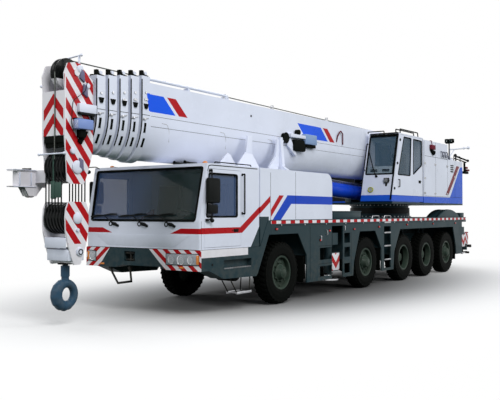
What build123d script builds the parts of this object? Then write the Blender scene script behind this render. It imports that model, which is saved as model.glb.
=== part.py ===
from build123d import *
import os
from math import atan2, cos, hypot, sin

# A five-axle truck crane with a telescoping boom, in millimetres.
# X runs forward, Y to the vehicle's left and Z up. The dimensions are measured from the face of
# the driver's cab (x = 0), the centre plane (y = 0) and the ground (z = 0). The finished pieces
# are moved along X, so that the origin is below the middle of the whole machine.

# ---- overall ----
WIDTH = 2750
HALF = WIDTH / 2
NOSE_X = 2330          # tip of the auxiliary nose on the boom head
TAIL_X = -13900        # back of the rear guard bar
DECK_TOP = 1650
DECK_PLATE = 45
SEAT = 0.3             # gap between pieces that slide or turn on each other
CLEAR = 6              # gap between pieces that pass each other

# ---- wheels and axles ----
TYRE_R = 613
TYRE_W = 315
RIM_R = 305
FLANGE_R = RIM_R + 25
FLANGE = 12
BEAD_HALF = 125
TRACK = WIDTH - 390
SPINDLE_R = 70
HUB_R = 150
DISC = 16
KINGPIN_INSET = 202    # kingpin to the wheel's centre plane
KINGPIN_R = 35
YOKE = 40              # thickness of an ear of the steering yoke
EAR_R = 60             # and its radius round the kingpin
KNUCKLE_H = 150
KNUCKLE_R = 75
STEER_ARM = 260        # reach of the steering arm behind the kingpin
BEAM = 160             # section of an axle beam
DIFFERENTIAL_R = 230
STRUT_R = 60
AXLES = [              # number, x, steered, hub stands proud of the rim
    (1, -2600, True, True),
    (2, -6350, True, True),
    (3, -8620, False, False),
    (4, -10220, False, False),
    (5, -11820, False, True),
]

# ---- carrier frame ----
FRAME_HALF = 420
FRAME_CLEAR = 57       # between a differential and the frame above it
FRAME_Z = (TYRE_R + DIFFERENTIAL_R + FRAME_CLEAR, DECK_TOP - DECK_PLATE)
FRAME_X = (-13530, -250)
FRAME_DROP = -1800     # the frame is lower in front of this, below the cab
FRAME_WALL = 15
ENGINE = (-4100, -2500, 400, 2300)     # back, front, half width, top
GUARD_Z = (590, 730)   # the rear guard bar
GUARD_DEPTH = 90
GUARD_INSET = 100      # from the vehicle's side to the bar's end
GUARD_ARM_Y = (330, 390)
DECK_GAP = 5           # round what comes up through the deck plate

# ---- deck, skirts and lockers ----
DECK_X = (-13490, -2140)
SKIRT = 30
SKIRT_BOTTOM = 350
TAIL_SKIRT_BOTTOM = 515
BULKHEAD = 20
BULKHEADS_X = (-3520, -5500, -7150, -7800, -12700)
RAIL_LOW = 1500        # underside of the rail that the side panels hang from
PANEL_SEAMS = (-2140, -3137, -5925, -6762, -8271, -12291, -13490)
SLOT_HALF = 262        # half width of the mouth in front of an outrigger
ARCHES = [             # outlines of the wheel arches, x and z
    [(-1600, 200), (-1693, 672), (-2070, 1370), (-3137, 1370), (-3480, 911), (-3480, 200)],
    [(-5560, 200), (-5621, 662), (-5925, 1352), (-6762, 1352), (-7120, 902), (-7120, 200)],
    [(-7820, 200), (-7894, 800), (-8271, 1362), (-12291, 1362), (-12549, 736), (-12590, 200)],
]
STEP_ROWS = [(1107, 1334), (790, 1016), (430, 650)]      # low and high z of the toe holes
STEPS_LEFT = (-5428, -5143)
STEPS_RIGHT = (-5460, -5390)
LADDER_X = (-7673, -7270)
LADDER_LOW = 410
RUNGS = (620, 960, 1290)
LOCKER_X = (-4582, -4030)
LOCKER_ROWS = [(782, 1040), (423, 650)]

# ---- outriggers ----
BEAM_W = 250           # section of an outrigger beam, along X
BEAM_H = 260           # and along Z
HOUSING_WALL = 16
OUTRIGGER_Z = 1210
BEAM_PITCH = 2 * (BEAM_W / 2 + CLEAR + HOUSING_WALL) + 6
JACK_R = 95
JACK_INSET = 255       # jack's axis to the vehicle's side
RAM_R = 70
FLOAT_R = 250
FLOAT_H = 50
PLATE_HALF = 184       # marker plate in front of a jack
PLATE_HEIGHT = 414
PLATE_THICK = 12
BEAM_TAIL = 420        # from the far side of the vehicle to a beam's inner end
BEAM_NOSE = 60         # from the near side to its outer end
OUTRIGGERS = [         # name, x of the left beam, x of the right beam, underside of the float
    ("front", -4820, -4820 - BEAM_PITCH, 300),
    ("rear", -13370, -13370 + BEAM_PITCH, 500),
]

# ---- driver's cab ----
CAB_WALL = 60
CAB_HALF = HALF - 20
CAB_Z = (1160, 2632)
CAB_BACK = -1760
SCREEN_FOOT = 1640     # height where the front starts to lean back
CAB_LEAN = 196
DOOR_SKIN = 40
DOOR = (-1180, -110, 1190, 2540)       # back, front, foot and top
DOOR_LEAN = 100        # the front edge leans back this much above the screen's foot
DOOR_GLASS = [(-1058, 1720), (-178, 1720), (-246, 2456), (-1058, 2456)]
CAB_CORNER = 30
RABBET = 25            # width of the stop that a door closes on
SCREEN = (1245, 1275, 1645, 2565)      # half width at foot and top, foot and top height
GLASS = 8

# ---- engine hood ----
HOOD_X = (-4591, -2140)
HOOD_TOP = 2631
HOOD_WALL = 30
HOOD_INSET = 6
HOOD_ROUND = 230

# ---- boom rest ----
REST_X = -3793
REST_HALF = 50
REST_GAP = 10          # between the cradle and the boom
FIN_Y = (500, 540)

# ---- bumper, side steps and front mudguards ----
BUMPER_Z = (800, 1155)
BUMPER_DEPTH = 230
STEP_DEPTH = 300
STEP_SIDE = [          # lower and rear outline of the side steps, x and z
    (-644, 635), (-1640, 616), (-1693, 672), (-2070, 1370), (-2135, 1370), (-2135, 1640), (-2030, 1640),
]
FOOTHOLD_X = (-1480, -640)
FOOTHOLD_Z = (800, 960)
FOOTHOLD_DEPTH = 90
TOW_RECESS = ((-160, 1), (-396, -129), (920, 1095))

# ---- boom ----
BOOM_HALF = 390
BOOM_TOP = 4030
BOOM_BOTTOM = 2701
BELLY_TOP = 3400       # where the flat sides turn into the oval belly
BELLY_ROUND = 250      # radius at the very bottom
PAD_Z = (3480, 3680)   # side slide pads
SECTION_STEP = 30      # each section is this much smaller all round
BOOM_WALL = 14
SECTIONS = 5           # telescoping sections
COLLAR_FRONT = 430
COLLAR_PITCH = 230
COLLAR_LENGTH = 195
COLLAR_RISE = 90
COLLAR_LIP = 48
TUBE_REAR = -11600     # rear of the first telescoping section
FOOT_X = -12230        # rear of the boom's foot
PIVOT = (-11900, 3450)
PIVOT_R = 80
HEAD_X = 1592
HEAD_PLATE = 25
HEAD_SIDE = [          # outline of the head's side plates, x and z
    (1375, 2772), (1375, 3659), (1381, 3898), (1600, 4065), (1648, 4130), (1765, 4137), (1903, 4104),
    (1971, 3934), (1955, 3700), (1955, 2980), (1925, 2630), (1900, 2270), (1850, 2236), (1560, 2236),
    (1470, 2450),
]
HEAD_FACE_X = (1940, 1955)             # the plate across the head's front
HEAD_FACE_Z = (2985, 3680)
SHEAVE_R = 250
GROOVE = 22            # depth of a sheave's rope groove
FALL_X = 1705          # x of the sheaves that carry the hook block
FALL_Z = 2500
FALLS_HALF = 216       # half width of the row of six sheaves
AXLE_R = 55            # sheave axles
ROPE_R = 11
FALL_Y = (-180, -108, -36, 36, 108, 180)
TOP_SHEAVE = (1720, 3980)
TOP_SHEAVE_HALF = 60
NOSE_BACK = 1700       # the auxiliary nose
NOSE_Y = (-640, -480)
NOSE_Z = (2190, 2460)
NOSE_SHEAVE = (1960, 2130)
NOSE_SHEAVE_R = 105
NOSE_SHEAVE_HALF = 40
BLOCK_Z = 1700         # height of the hook block's sheaves
BLOCK_HALF = 276
CHEEK = 30
CHEEK_EDGE = [         # edge of a cheek: distance in front of its middle, and height
    (172, 1957), (222, 1850), (238, 1712), (226, 1480), (172, 1258), (100, 1060), (62, 973),
]
CROSSHEAD_Z = (1000, 1180)
NUT_R = 85             # nut on top of the hook's shank
SHANK_R = 45
HOOK_NECK = 930
HOOK_BOWL_R = 135
HOOK_SECTION = 65

# ---- superstructure ----
SLEW_X = -10000
RING_R = 850
PEDESTAL_R = 790
RING_Z = (1830, 2023)
BASE_Z = (2023, 2070)
BASE_X = (-13300, -9000)
UPRIGHT = 40
UPRIGHT_Y = BOOM_HALF + 15
SIDE_Y = (460, HALF - 40)
COVER_WALL = 25
COVER_TOP = 3398       # top of the machine covers, and of the left one's rear part
LIFT_BASE = (-9400, 2290)
LIFT_EYE = (-4900, 2490)
BARREL_R = 190
BORE_R = 150
ROD_R = 105
LIFT_PIN_R = 60
LIFT_HALF = 110        # half width of the cylinder's eyes
WINCH = (-13010, 2850)
DRUM_R = 220
DRUM_FLANGE_R = 320

# ---- crane operator's cab ----
CRANE_CAB_Z = (2088, 3880)
CRANE_CAB_FRONT = (-7820, -8344)       # at the floor and at the roof
CRANE_CAB_BACK = -9970
CRANE_WALL = 50
CRANE_SCREEN_Z = (2790, 3825)
CRANE_DOOR = (-9925, 28, 2241, 3850)   # back, width of the post in front of it, foot and top
CRANE_SKIN = 32
CRANE_PANES = [        # x and z outlines of the door's two windows
    [(-8627, 3794), (-9120, 3794), (-9042, 2785), (-8230, 2785)],
    [(-9270, 3788), (-9870, 3780), (-9870, 3104), (-9260, 2827)],
]
INNER_PANE = ((-9700, -8600), (2850, 3700))


def box(x, y, z):
    """A box between two x, two y and two z values."""
    size = [abs(pair[1] - pair[0]) for pair in (x, y, z)]
    return Pos(sum(x) / 2, sum(y) / 2, sum(z) / 2) * Box(*size)


def side_prism(outline, y0, y1):
    """An x-z outline carried from y0 to y1."""
    face = make_face(Polyline(*[(x, y0, z) for x, z in outline], close=True))
    return extrude(face, amount=y1 - y0, dir=(0, 1, 0))


def front_prism(outline, x0, x1):
    """A y-z outline carried from x0 to x1."""
    face = make_face(Polyline(*[(x0, y, z) for y, z in outline], close=True))
    return extrude(face, amount=x1 - x0, dir=(1, 0, 0))


def rod(start, end, radius):
    """A round bar between two points."""
    along = Vector(*end) - Vector(*start)
    return extrude(Plane(origin=start, z_dir=along) * Circle(radius), amount=along.length)


def cross_rod(x, z, y0, y1, radius):
    """A round bar across the machine, from y0 to y1."""
    return rod((x, y0, z), (x, y1, z), radius)


def turned(outline):
    """A radius-height outline turned about Z."""
    return revolve(make_face(Polyline(*[(r, 0, z) for r, z in outline], close=True)), Axis.Z)


def wheel_place(x, side):
    """From a wheel's own axis, +Z outward, to its place on one side of an axle."""
    return Pos(x, side * TRACK / 2, TYRE_R) * Rot(-90 * side, 0, 0)


# ---------------------------------------------------------------- wheels and axles

def tyre():
    half = TYRE_W / 2
    crown = [(FLANGE_R + 0.5, BEAD_HALF), (FLANGE_R + 15, half - 15), (460, half),
             (575, half - 8), (TYRE_R, half - 30)]
    right = [(RIM_R + 1, BEAD_HALF)] + crown
    return turned([(r, -z) for r, z in right] + right[::-1])


def rim(proud):
    seat = BEAD_HALF + SEAT
    inner = RIM_R - 15
    barrel = [(inner, -seat - FLANGE), (FLANGE_R, -seat - FLANGE), (FLANGE_R, -seat),
              (RIM_R + 1 - SEAT, -seat), (RIM_R + 1 - SEAT, seat), (FLANGE_R, seat),
              (FLANGE_R, seat + FLANGE), (inner, seat + FLANGE)]
    bore = SPINDLE_R + SEAT
    if proud:
        disc_back, disc_front = [(HUB_R, 54), (inner, 44)], [(inner, 44 + DISC), (HUB_R + 10, 54 + DISC)]
        hub = [(HUB_R + 10, 105), (125, 145), (110, 185), (0, 185), (0, 61), (bore, 61)]
    else:
        disc_back, disc_front = [(HUB_R, -116), (inner, -122)], [(inner, -106), (HUB_R + 10, -100)]
        hub = [(HUB_R, -30), (120, 10), (100, 30), (0, 30), (0, -29), (bore, -29)]
    back = [(bore, -120), (HUB_R, -120)]
    return turned(back + disc_back + barrel + disc_front + hub)


def spindle_reach(proud):
    """How far a spindle goes past the wheel's centre plane."""
    return 60 if proud else -30


def knuckle(x, side, proud):
    """A steering knuckle: a round body on its kingpin, with the spindle and the steering arm."""
    pin_y = side * (TRACK / 2 - KINGPIN_INSET)
    half = KNUCKLE_H / 2
    body = rod((x, pin_y, TYRE_R - half), (x, pin_y, TYRE_R + half), KNUCKLE_R)
    reach = half + YOKE + 12
    body += rod((x, pin_y, TYRE_R - reach), (x, pin_y, TYRE_R + reach), KINGPIN_R)
    end = side * (TRACK / 2 + spindle_reach(proud))
    body += cross_rod(x, TYRE_R, pin_y, end, SPINDLE_R)
    arm_inner, arm_outer = pin_y - side * 20, pin_y + side * 40
    return body + box((x - STEER_ARM, x - 50), (arm_inner, arm_outer), (TYRE_R - 70, TYRE_R - 30))


def steered_beam(x):
    """An axle beam that ends in a pair of rounded yoke ears round each kingpin."""
    pin_y = TRACK / 2 - KINGPIN_INSET
    shoulder = pin_y - KNUCKLE_R - CLEAR
    beam = box((x - BEAM / 2, x + BEAM / 2), (-shoulder, shoulder), (TYRE_R - BEAM / 2, TYRE_R + BEAM / 2))
    for side in (-1, 1):
        for up in (-1, 1):
            low = TYRE_R + up * (KNUCKLE_H / 2 + SEAT)
            high = low + up * YOKE
            ear = box((x - EAR_R, x + EAR_R), (side * (shoulder - 60), side * pin_y), (low, high))
            ear += rod((x, side * pin_y, min(low, high)), (x, side * pin_y, max(low, high)), EAR_R)
            beam += ear - rod((x, side * pin_y, min(low, high) - 1), (x, side * pin_y, max(low, high) + 1),
                              KINGPIN_R + SEAT)
            wall = (TYRE_R + up * BEAM / 2 - up * 10, high)
            beam += box((x - EAR_R, x + EAR_R), (side * (shoulder - 90), side * shoulder), wall)
    return beam


def driven_beam(x, proud):
    end = TRACK / 2 + spindle_reach(proud)
    hub_back = TRACK / 2 - 120 - CLEAR
    beam = box((x - BEAM / 2, x + BEAM / 2), (-hub_back, hub_back), (TYRE_R - BEAM / 2, TYRE_R + BEAM / 2))
    return beam + cross_rod(x, TYRE_R, -end, end, SPINDLE_R)


def axle_beams():
    beams = []
    for number, x, steered, proud in AXLES:
        beam = steered_beam(x) if steered else driven_beam(x, proud)
        beam += cross_rod(x, TYRE_R, -190, 190, DIFFERENTIAL_R)
        for side in (-1, 1):
            beam += rod((x, side * 320, TYRE_R), (x, side * 320, FRAME_Z[0]), STRUT_R)
        beams.append(beam)
    return Compound([beam.solid() for beam in beams])


# ---------------------------------------------------------------- carrier

def housing_size():
    """Inside width and height of an outrigger's housing."""
    return BEAM_W + 2 * CLEAR, BEAM_H + 2 * SEAT


def chassis_frame():
    wall = FRAME_WALL
    low, high = FRAME_Z
    side = [(FRAME_X[0], low), (FRAME_X[1], low), (FRAME_X[1], CAB_Z[0]), (FRAME_DROP, CAB_Z[0]),
            (FRAME_DROP, high), (FRAME_X[0], high)]
    hollow = [(FRAME_X[0] + wall, low + wall), (FRAME_X[1] - wall, low + wall),
              (FRAME_X[1] - wall, CAB_Z[0] - wall), (FRAME_DROP - wall, CAB_Z[0] - wall),
              (FRAME_DROP - wall, high - wall), (FRAME_X[0] + wall, high - wall)]
    frame = side_prism(side, -FRAME_HALF, FRAME_HALF)
    frame -= side_prism(hollow, -FRAME_HALF + wall, FRAME_HALF - wall)
    back, front, half, top = ENGINE
    frame += box((back, front), (-half, half), (FRAME_Z[1] - wall, top))
    inside_w, inside_h = housing_size()
    reach = HALF - JACK_INSET - JACK_R - 10
    for name, left_x, right_x, float_z in OUTRIGGERS:
        for x in (left_x, right_x):
            w = inside_w / 2 + HOUSING_WALL
            h = inside_h / 2 + HOUSING_WALL
            frame += box((x - w, x + w), (-reach, reach), (OUTRIGGER_Z - h, OUTRIGGER_Z + h))
    for name, left_x, right_x, float_z in OUTRIGGERS:
        for x in (left_x, right_x):
            frame -= box((x - inside_w / 2, x + inside_w / 2), (-reach - 1, reach + 1),
                         (OUTRIGGER_Z - inside_h / 2, OUTRIGGER_Z + inside_h / 2))
    reach = HALF - GUARD_INSET
    guard = box((TAIL_X, TAIL_X + GUARD_DEPTH), (-reach, reach), GUARD_Z)
    arm = [(FRAME_X[0] + 20, low + 100), (FRAME_X[0] + 20, low), (TAIL_X + 60, GUARD_Z[0] + 30),
           (TAIL_X + 60, GUARD_Z[1] - 10)]
    for side in (-1, 1):
        guard += side_prism(arm, side * GUARD_ARM_Y[0], side * GUARD_ARM_Y[1])
    pedestal = rod((SLEW_X, 0, FRAME_Z[1] - wall), (SLEW_X, 0, RING_Z[0] - 60), PEDESTAL_R)
    return frame + guard + pedestal


def skirt(side, slot_x, steps_x, rear_slot_x):
    """One side's rail and the panels that hang from it, with arches, toe holes and outrigger slots."""
    back, front = DECK_X
    thick = (side * (HALF - SKIRT), side * HALF)
    sheet = box((back, front), thick, (SKIRT_BOTTOM, RAIL_LOW))
    reach = (side * (HALF - SKIRT - 1), side * (HALF + 1))
    for outline in ARCHES:
        sheet -= side_prism(outline, *reach)
    sheet -= box((back - 1, ARCHES[2][4][0]), reach, (200, TAIL_SKIRT_BOTTOM))
    for low, high in STEP_ROWS:
        sheet -= box(steps_x, reach, (low, high))
    for low, high in LOCKER_ROWS:
        sheet -= box(LOCKER_X, reach, (low, high))
    sheet -= box((LADDER_X[0], LADDER_X[1]), reach, (LADDER_LOW, 1450))
    sheet -= box((slot_x - SLOT_HALF, slot_x + SLOT_HALF), reach, (200, RAIL_LOW + 1))
    sheet -= box((back - 1, rear_slot_x + SLOT_HALF), reach, (200, RAIL_LOW + 1))
    rail = box((back, front), thick, (RAIL_LOW, FRAME_Z[1]))
    panels = [rail.solid()]
    for start, end in zip(PANEL_SEAMS, PANEL_SEAMS[1:]):
        panels += (sheet & box((start, end), reach, (200, RAIL_LOW + 1))).solids()
    for z in RUNGS:
        panels.append(box(LADDER_X, (side * (HALF - SKIRT), side * (HALF - 5)), (z - 20, z + 20)).solid())
    return panels


def deck():
    """The deck plate, its bulkheads and both skirts, as the separate sheets that they are."""
    plate = box(DECK_X, (-HALF, HALF), (FRAME_Z[1], DECK_TOP))
    back, front, half, top = ENGINE
    gap = DECK_GAP
    plate -= box((back - gap, front + gap), (-half - gap, half + gap), (FRAME_Z[1] - 1, DECK_TOP + 1))
    plate -= rod((SLEW_X, 0, FRAME_Z[1] - 1), (SLEW_X, 0, DECK_TOP + 1), PEDESTAL_R + gap)
    sheets = [plate.solid()]
    for side, column in ((1, 1), (-1, 2)):
        slot_x = OUTRIGGERS[0][column]
        steps_x = STEPS_LEFT if side == 1 else STEPS_RIGHT
        sheets += skirt(side, slot_x, steps_x, OUTRIGGERS[1][column])
        for x in BULKHEADS_X:
            across = (side * (FRAME_HALF + gap), side * (HALF - SKIRT))
            sheets.append(box((x - BULKHEAD / 2, x + BULKHEAD / 2), across, (720, FRAME_Z[1])).solid())
    return Compound(sheets)


def outrigger_beam(x, side, float_z):
    inner_end = -side * (HALF - BEAM_TAIL)
    outer_end = side * (HALF - BEAM_NOSE)
    low, high = OUTRIGGER_Z - BEAM_H / 2, OUTRIGGER_Z + BEAM_H / 2
    beam = box((x - BEAM_W / 2, x + BEAM_W / 2), (inner_end, outer_end), (low, high))
    jack_y = side * (HALF - JACK_INSET)
    bottom = float_z + FLOAT_H + 60
    beam += rod((x, jack_y, bottom), (x, jack_y, high + 90), JACK_R)
    beam -= rod((x, jack_y, bottom - 1), (x, jack_y, high + 30), RAM_R + SEAT)
    plate_low = bottom + 90
    plate_high = plate_low + PLATE_HEIGHT
    outer = HALF - 50
    plate_y = (side * (outer - PLATE_THICK), side * outer)
    plate = box((x - PLATE_HALF, x + PLATE_HALF), plate_y, (plate_low, plate_high))
    stay_y = (jack_y + side * (JACK_R - 8), side * (outer - PLATE_THICK + 1))
    return beam + plate + box((x - 40, x + 40), stay_y, (plate_low + 60, plate_high - 60))


def outrigger_jack(x, side, float_z):
    jack_y = side * (HALF - JACK_INSET)
    foot = turned([(0, 0), (FLOAT_R, 0), (FLOAT_R, FLOAT_H * 0.6), (RAM_R + 30, FLOAT_H), (0, FLOAT_H)])
    jack = Pos(x, jack_y, float_z) * foot
    return jack + rod((x, jack_y, float_z), (x, jack_y, OUTRIGGER_Z + BEAM_H / 2 + 20), RAM_R)


def bumper():
    low, high = BUMPER_Z
    front = front_prism([(-HALF, high), (HALF, high), (HALF, low), (600, low), (450, low + 46),
                         (-450, low + 46), (-600, low), (-HALF, low)], -BUMPER_DEPTH, 0)
    front -= box(*TOW_RECESS)
    front += box((FRAME_X[1], -BUMPER_DEPTH + 1), (-FRAME_HALF, FRAME_HALF), (FRAME_Z[0] + 40, high))
    for side in (-1, 1):
        step = side_prism([(10 - BUMPER_DEPTH, high), (10 - BUMPER_DEPTH, low)] + STEP_SIDE + [(-1775, high)],
                          side * (HALF - STEP_DEPTH), side * HALF)
        front += step - box(FOOTHOLD_X, (side * (HALF - FOOTHOLD_DEPTH), side * (HALF + 1)), FOOTHOLD_Z)
    return front


def cab_outline(inset):
    """The driver's cab from the side, with every wall moved in by inset."""
    low, high = CAB_Z
    lean = CAB_LEAN / hypot(CAB_LEAN, high - SCREEN_FOOT)
    back = inset * (1 + lean)
    return [(-inset, low + inset), (-inset, SCREEN_FOOT), (-CAB_LEAN - back, high - inset),
            (CAB_BACK + inset, high - inset), (CAB_BACK + inset, low + inset)]


def screen_outline(gap):
    foot_half, top_half, foot, top = SCREEN
    return [(-foot_half + gap, foot + gap), (foot_half - gap, foot + gap), (top_half - gap, top - gap),
            (-top_half + gap, top - gap)]


def door_outline(inset):
    """A door of the driver's cab from the side, with every edge moved in by inset."""
    back, front, low, high = DOOR
    return [(back + inset, low + inset), (front - inset, low + inset), (front - inset, SCREEN_FOOT),
            (front - DOOR_LEAN - inset, high - inset), (back + inset, high - inset)]


def driver_cab():
    cab = side_prism(cab_outline(0), -CAB_HALF, CAB_HALF)
    front_edges = cab.edges().filter_by(Axis.Z).filter_by(lambda edge: edge.center().X > -1)
    cab = fillet(front_edges, CAB_CORNER)
    cab -= side_prism(cab_outline(CAB_WALL), -CAB_HALF + CAB_WALL, CAB_HALF - CAB_WALL)
    cab -= front_prism(screen_outline(0), -CAB_LEAN - 200, 1)
    for side in (-1, 1):
        cab -= side_prism(door_outline(0), side * (CAB_HALF - DOOR_SKIN - SEAT), side * (CAB_HALF + 1))
        cab -= side_prism(door_outline(RABBET), side * (CAB_HALF - CAB_WALL - 1), side * CAB_HALF)
    return cab


def cab_door(side):
    door = side_prism(door_outline(CLEAR), side * (CAB_HALF - DOOR_SKIN), side * CAB_HALF)
    return door - side_prism(DOOR_GLASS, side * (CAB_HALF - CAB_WALL), side * (CAB_HALF + 1))


def windscreen():
    outer, inner = cab_outline(20), cab_outline(20 + GLASS)
    half = max(SCREEN[:2])
    slab = side_prism([outer[1], outer[2], inner[2], inner[1]], -half, half)
    return slab & front_prism(screen_outline(SEAT), -CAB_LEAN - 300, 1)


def seat(x, y, floor, width):
    """A seat on its pedestal, its back towards the rear."""
    pan = floor + 420
    body = box((x - 60, x + 60), (y - 90, y + 90), (floor, pan))
    body += box((x - 240, x + 240), (y - width / 2, y + width / 2), (pan - 10, pan + 110))
    back = [(x - 240, pan), (x - 140, pan), (x - 240, pan + 680), (x - 330, pan + 680)]
    return body + side_prism(back, y - width / 2, y + width / 2)


def cab_interior():
    floor = CAB_Z[0] + CAB_WALL
    inside = CAB_HALF - CAB_WALL
    dash = side_prism([(-CAB_WALL - 5, floor), (-CAB_WALL - 5, 1600), (-330, 1640), (-480, 1500),
                       (-430, floor)], -inside + 60, inside - 60)
    column = rod((-420, 560, 1400), (-620, 560, 1720), 30)
    wheel = Plane(origin=(-620, 560, 1720), z_dir=(-200, 0, 320)) * (Cylinder(220, 30) - Cylinder(190, 31))
    spokes = Plane(origin=(-620, 560, 1720), z_dir=(-200, 0, 320)) * Box(50, 400, 24)
    return Compound([(dash + column + wheel + spokes).solid(), seat(-1180, 560, floor, 520).solid(),
                              seat(-1180, -560, floor, 520).solid()])


def hood():
    back, front = HOOD_X
    half = HALF - HOOD_INSET
    hood_box = box((back, front), (-half, half), (DECK_TOP, HOOD_TOP))
    rear_top = hood_box.edges().filter_by(Axis.Y).sort_by(Axis.Z)[-2:].sort_by(Axis.X)[0]
    hood_box = fillet(rear_top, HOOD_ROUND)
    wall = HOOD_WALL
    inner = box((back + wall, front - wall), (wall - half, half - wall), (DECK_TOP - 1, HOOD_TOP - wall))
    inner_top = inner.edges().filter_by(Axis.Y).sort_by(Axis.Z)[-2:].sort_by(Axis.X)[0]
    shell = hood_box - fillet(inner_top, HOOD_ROUND - wall)
    cheek = [(-1775, 1180), (-2030, DECK_TOP - 8), (-2110, DECK_TOP - 8), (front, DECK_TOP + 40),
             (front - 20, HOOD_TOP), (-1775, HOOD_TOP)]
    for side in (-1, 1):
        shell += side_prism(cheek, side * (HALF - HOOD_INSET), side * (HALF - HOOD_INSET - HOOD_WALL))
    return shell


def boom_rest():
    """The cradle that the lowered boom lies in, with a fin of plate on each side."""
    x, half, gap = REST_X, REST_HALF, REST_GAP
    right = [(0, HOOD_TOP), (840, HOOD_TOP), (620, 2790), (560, 3420), (500, 3420), (460, 3080), (330, 2800),
             (0, HOOD_TOP + 25)]
    left = [(-y, z) for y, z in right]
    rest = front_prism(right, x - half, x + half) + front_prism(left, x - half, x + half)
    fin = [(x + 440, HOOD_TOP), (x + 440, 2751), (x + 197, 2994), (x + 126, 3364), (x - 126, 3366),
           (x - 71, 3108), (x + 91, 2740), (x + 91, HOOD_TOP)]
    for side in (-1, 1):
        rest += side_prism(fin, side * FIN_Y[0], side * FIN_Y[1])
    return rest - extrude(boom_face(0, gap, gap, x - half - 1), amount=2 * half + 2, dir=(1, 0, 0))


# ---------------------------------------------------------------- superstructure

def slewing_ring():
    """The lower half of the ring, bolted to the carrier's pedestal."""
    return rod((SLEW_X, 0, RING_Z[0] - 60), (SLEW_X, 0, (RING_Z[0] + RING_Z[1]) / 2), RING_R)


def superstructure_frame():
    ring = rod((SLEW_X, 0, (RING_Z[0] + RING_Z[1]) / 2 + SEAT), (SLEW_X, 0, BASE_Z[1]), RING_R - 30)
    base = box(BASE_X, (-SIDE_Y[1], SIDE_Y[1]), BASE_Z)
    cab_floor = box((CRANE_CAB_FRONT[0] - 40, BASE_X[1] + 1), (UPRIGHT_Y, SIDE_Y[1]), BASE_Z)
    frame = ring + base + cab_floor
    plate = [(-8950, 2060), (-9050, 2450), (-9900, 2750), (-11450, 3720), (-11750, 3800), (-12150, 3780),
             (-12450, 3350), (-13300, 3150), (-13300, 2060)]
    for side in (-1, 1):
        frame += side_prism(plate, side * UPRIGHT_Y, side * (UPRIGHT_Y + UPRIGHT))
        lug = side_prism([(-9700, 2060), (-9520, 2440), (-9280, 2440), (-9100, 2060)],
                         side * (LIFT_HALF + CLEAR), side * (LIFT_HALF + CLEAR + 60))
        frame += lug
    frame += cross_rod(LIFT_BASE[0], LIFT_BASE[1], -LIFT_HALF - 80, LIFT_HALF + 80, LIFT_PIN_R)
    frame += cross_rod(*PIVOT, -UPRIGHT_Y - UPRIGHT, UPRIGHT_Y + UPRIGHT, PIVOT_R)
    return frame + box((-13300, -12650), (-UPRIGHT_Y - 1, UPRIGHT_Y + 1), (2060, 2420))


def machine_covers():
    covers = []
    rear = [(BASE_X[0], COVER_TOP), (BASE_X[0], BASE_Z[1])]
    left = [(-10020, BASE_Z[1]), (-10020, 3840), (-11950, 3840), (-11950, COVER_TOP)] + rear
    right = [(-9300, BASE_Z[1]), (-9300, 3100), (-9600, COVER_TOP)] + rear
    for side, outline in ((1, left), (-1, right)):
        near, far = side * SIDE_Y[0], side * SIDE_Y[1]
        wall = COVER_WALL
        xs = [x for x, z in outline]
        shell = side_prism(outline, near, far)
        inner = [(x - wall if x == max(xs) else x + wall, z - wall if z > BASE_Z[1] else z - 1)
                 for x, z in outline]
        shell -= side_prism(inner, near - side, far - side * wall)
        covers.append(shell.solid())
    return Compound(covers)


def winch():
    x, z = WINCH
    reach = UPRIGHT_Y - SEAT
    drum = cross_rod(x, z, -reach, reach, DRUM_R)
    for side in (-1, 1):
        drum += cross_rod(x, z, side * (reach - 30), side * reach, DRUM_FLANGE_R)
    return drum


def crane_cab_outline(inset):
    low, high = CRANE_CAB_Z
    foot, head = CRANE_CAB_FRONT
    lean = inset * 1.1
    return [(foot - lean, low + inset), (head - lean, high - inset), (CRANE_CAB_BACK + inset, high - inset),
            (CRANE_CAB_BACK + inset, low + inset)]


def crane_door_outline(inset):
    """The crane cab's door from the side, its front edge along the cab's front."""
    back, post, low, high = CRANE_DOOR
    foot, head = CRANE_CAB_FRONT
    slope = (head - foot) / (CRANE_CAB_Z[1] - CRANE_CAB_Z[0])
    front = [foot + slope * (z - CRANE_CAB_Z[0]) - post - inset for z in (low + inset, high - inset)]
    return [(back + inset, low + inset), (front[0], low + inset), (front[1], high - inset),
            (back + inset, high - inset)]


def crane_cab():
    near, far = SIDE_Y
    wall = CRANE_WALL
    shell = side_prism(crane_cab_outline(0), near, far)
    shell -= side_prism(crane_cab_outline(wall), near + wall, far - wall)
    front = (CRANE_CAB_FRONT[1] - 2 * wall, CRANE_CAB_FRONT[0])
    shell -= box(front, (near + wall, far - wall), CRANE_SCREEN_Z)
    shell -= side_prism(crane_door_outline(0), far - CRANE_SKIN - SEAT, far + 1)
    shell -= side_prism(crane_door_outline(RABBET), far - wall - 1, far)
    pane_x, pane_z = INNER_PANE
    shell -= box(pane_x, (near - 1, near + wall + 1), pane_z)
    plinth = (CRANE_CAB_FRONT[0] - 100, CRANE_CAB_BACK + 200)
    floor_box = box(plinth, (near + 20, far - 20), (BASE_Z[1], CRANE_CAB_Z[0] + 1))
    chair = seat(-9250, (near + far) / 2, CRANE_CAB_Z[0] + wall - 1, 480)
    return shell + floor_box + chair


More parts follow.
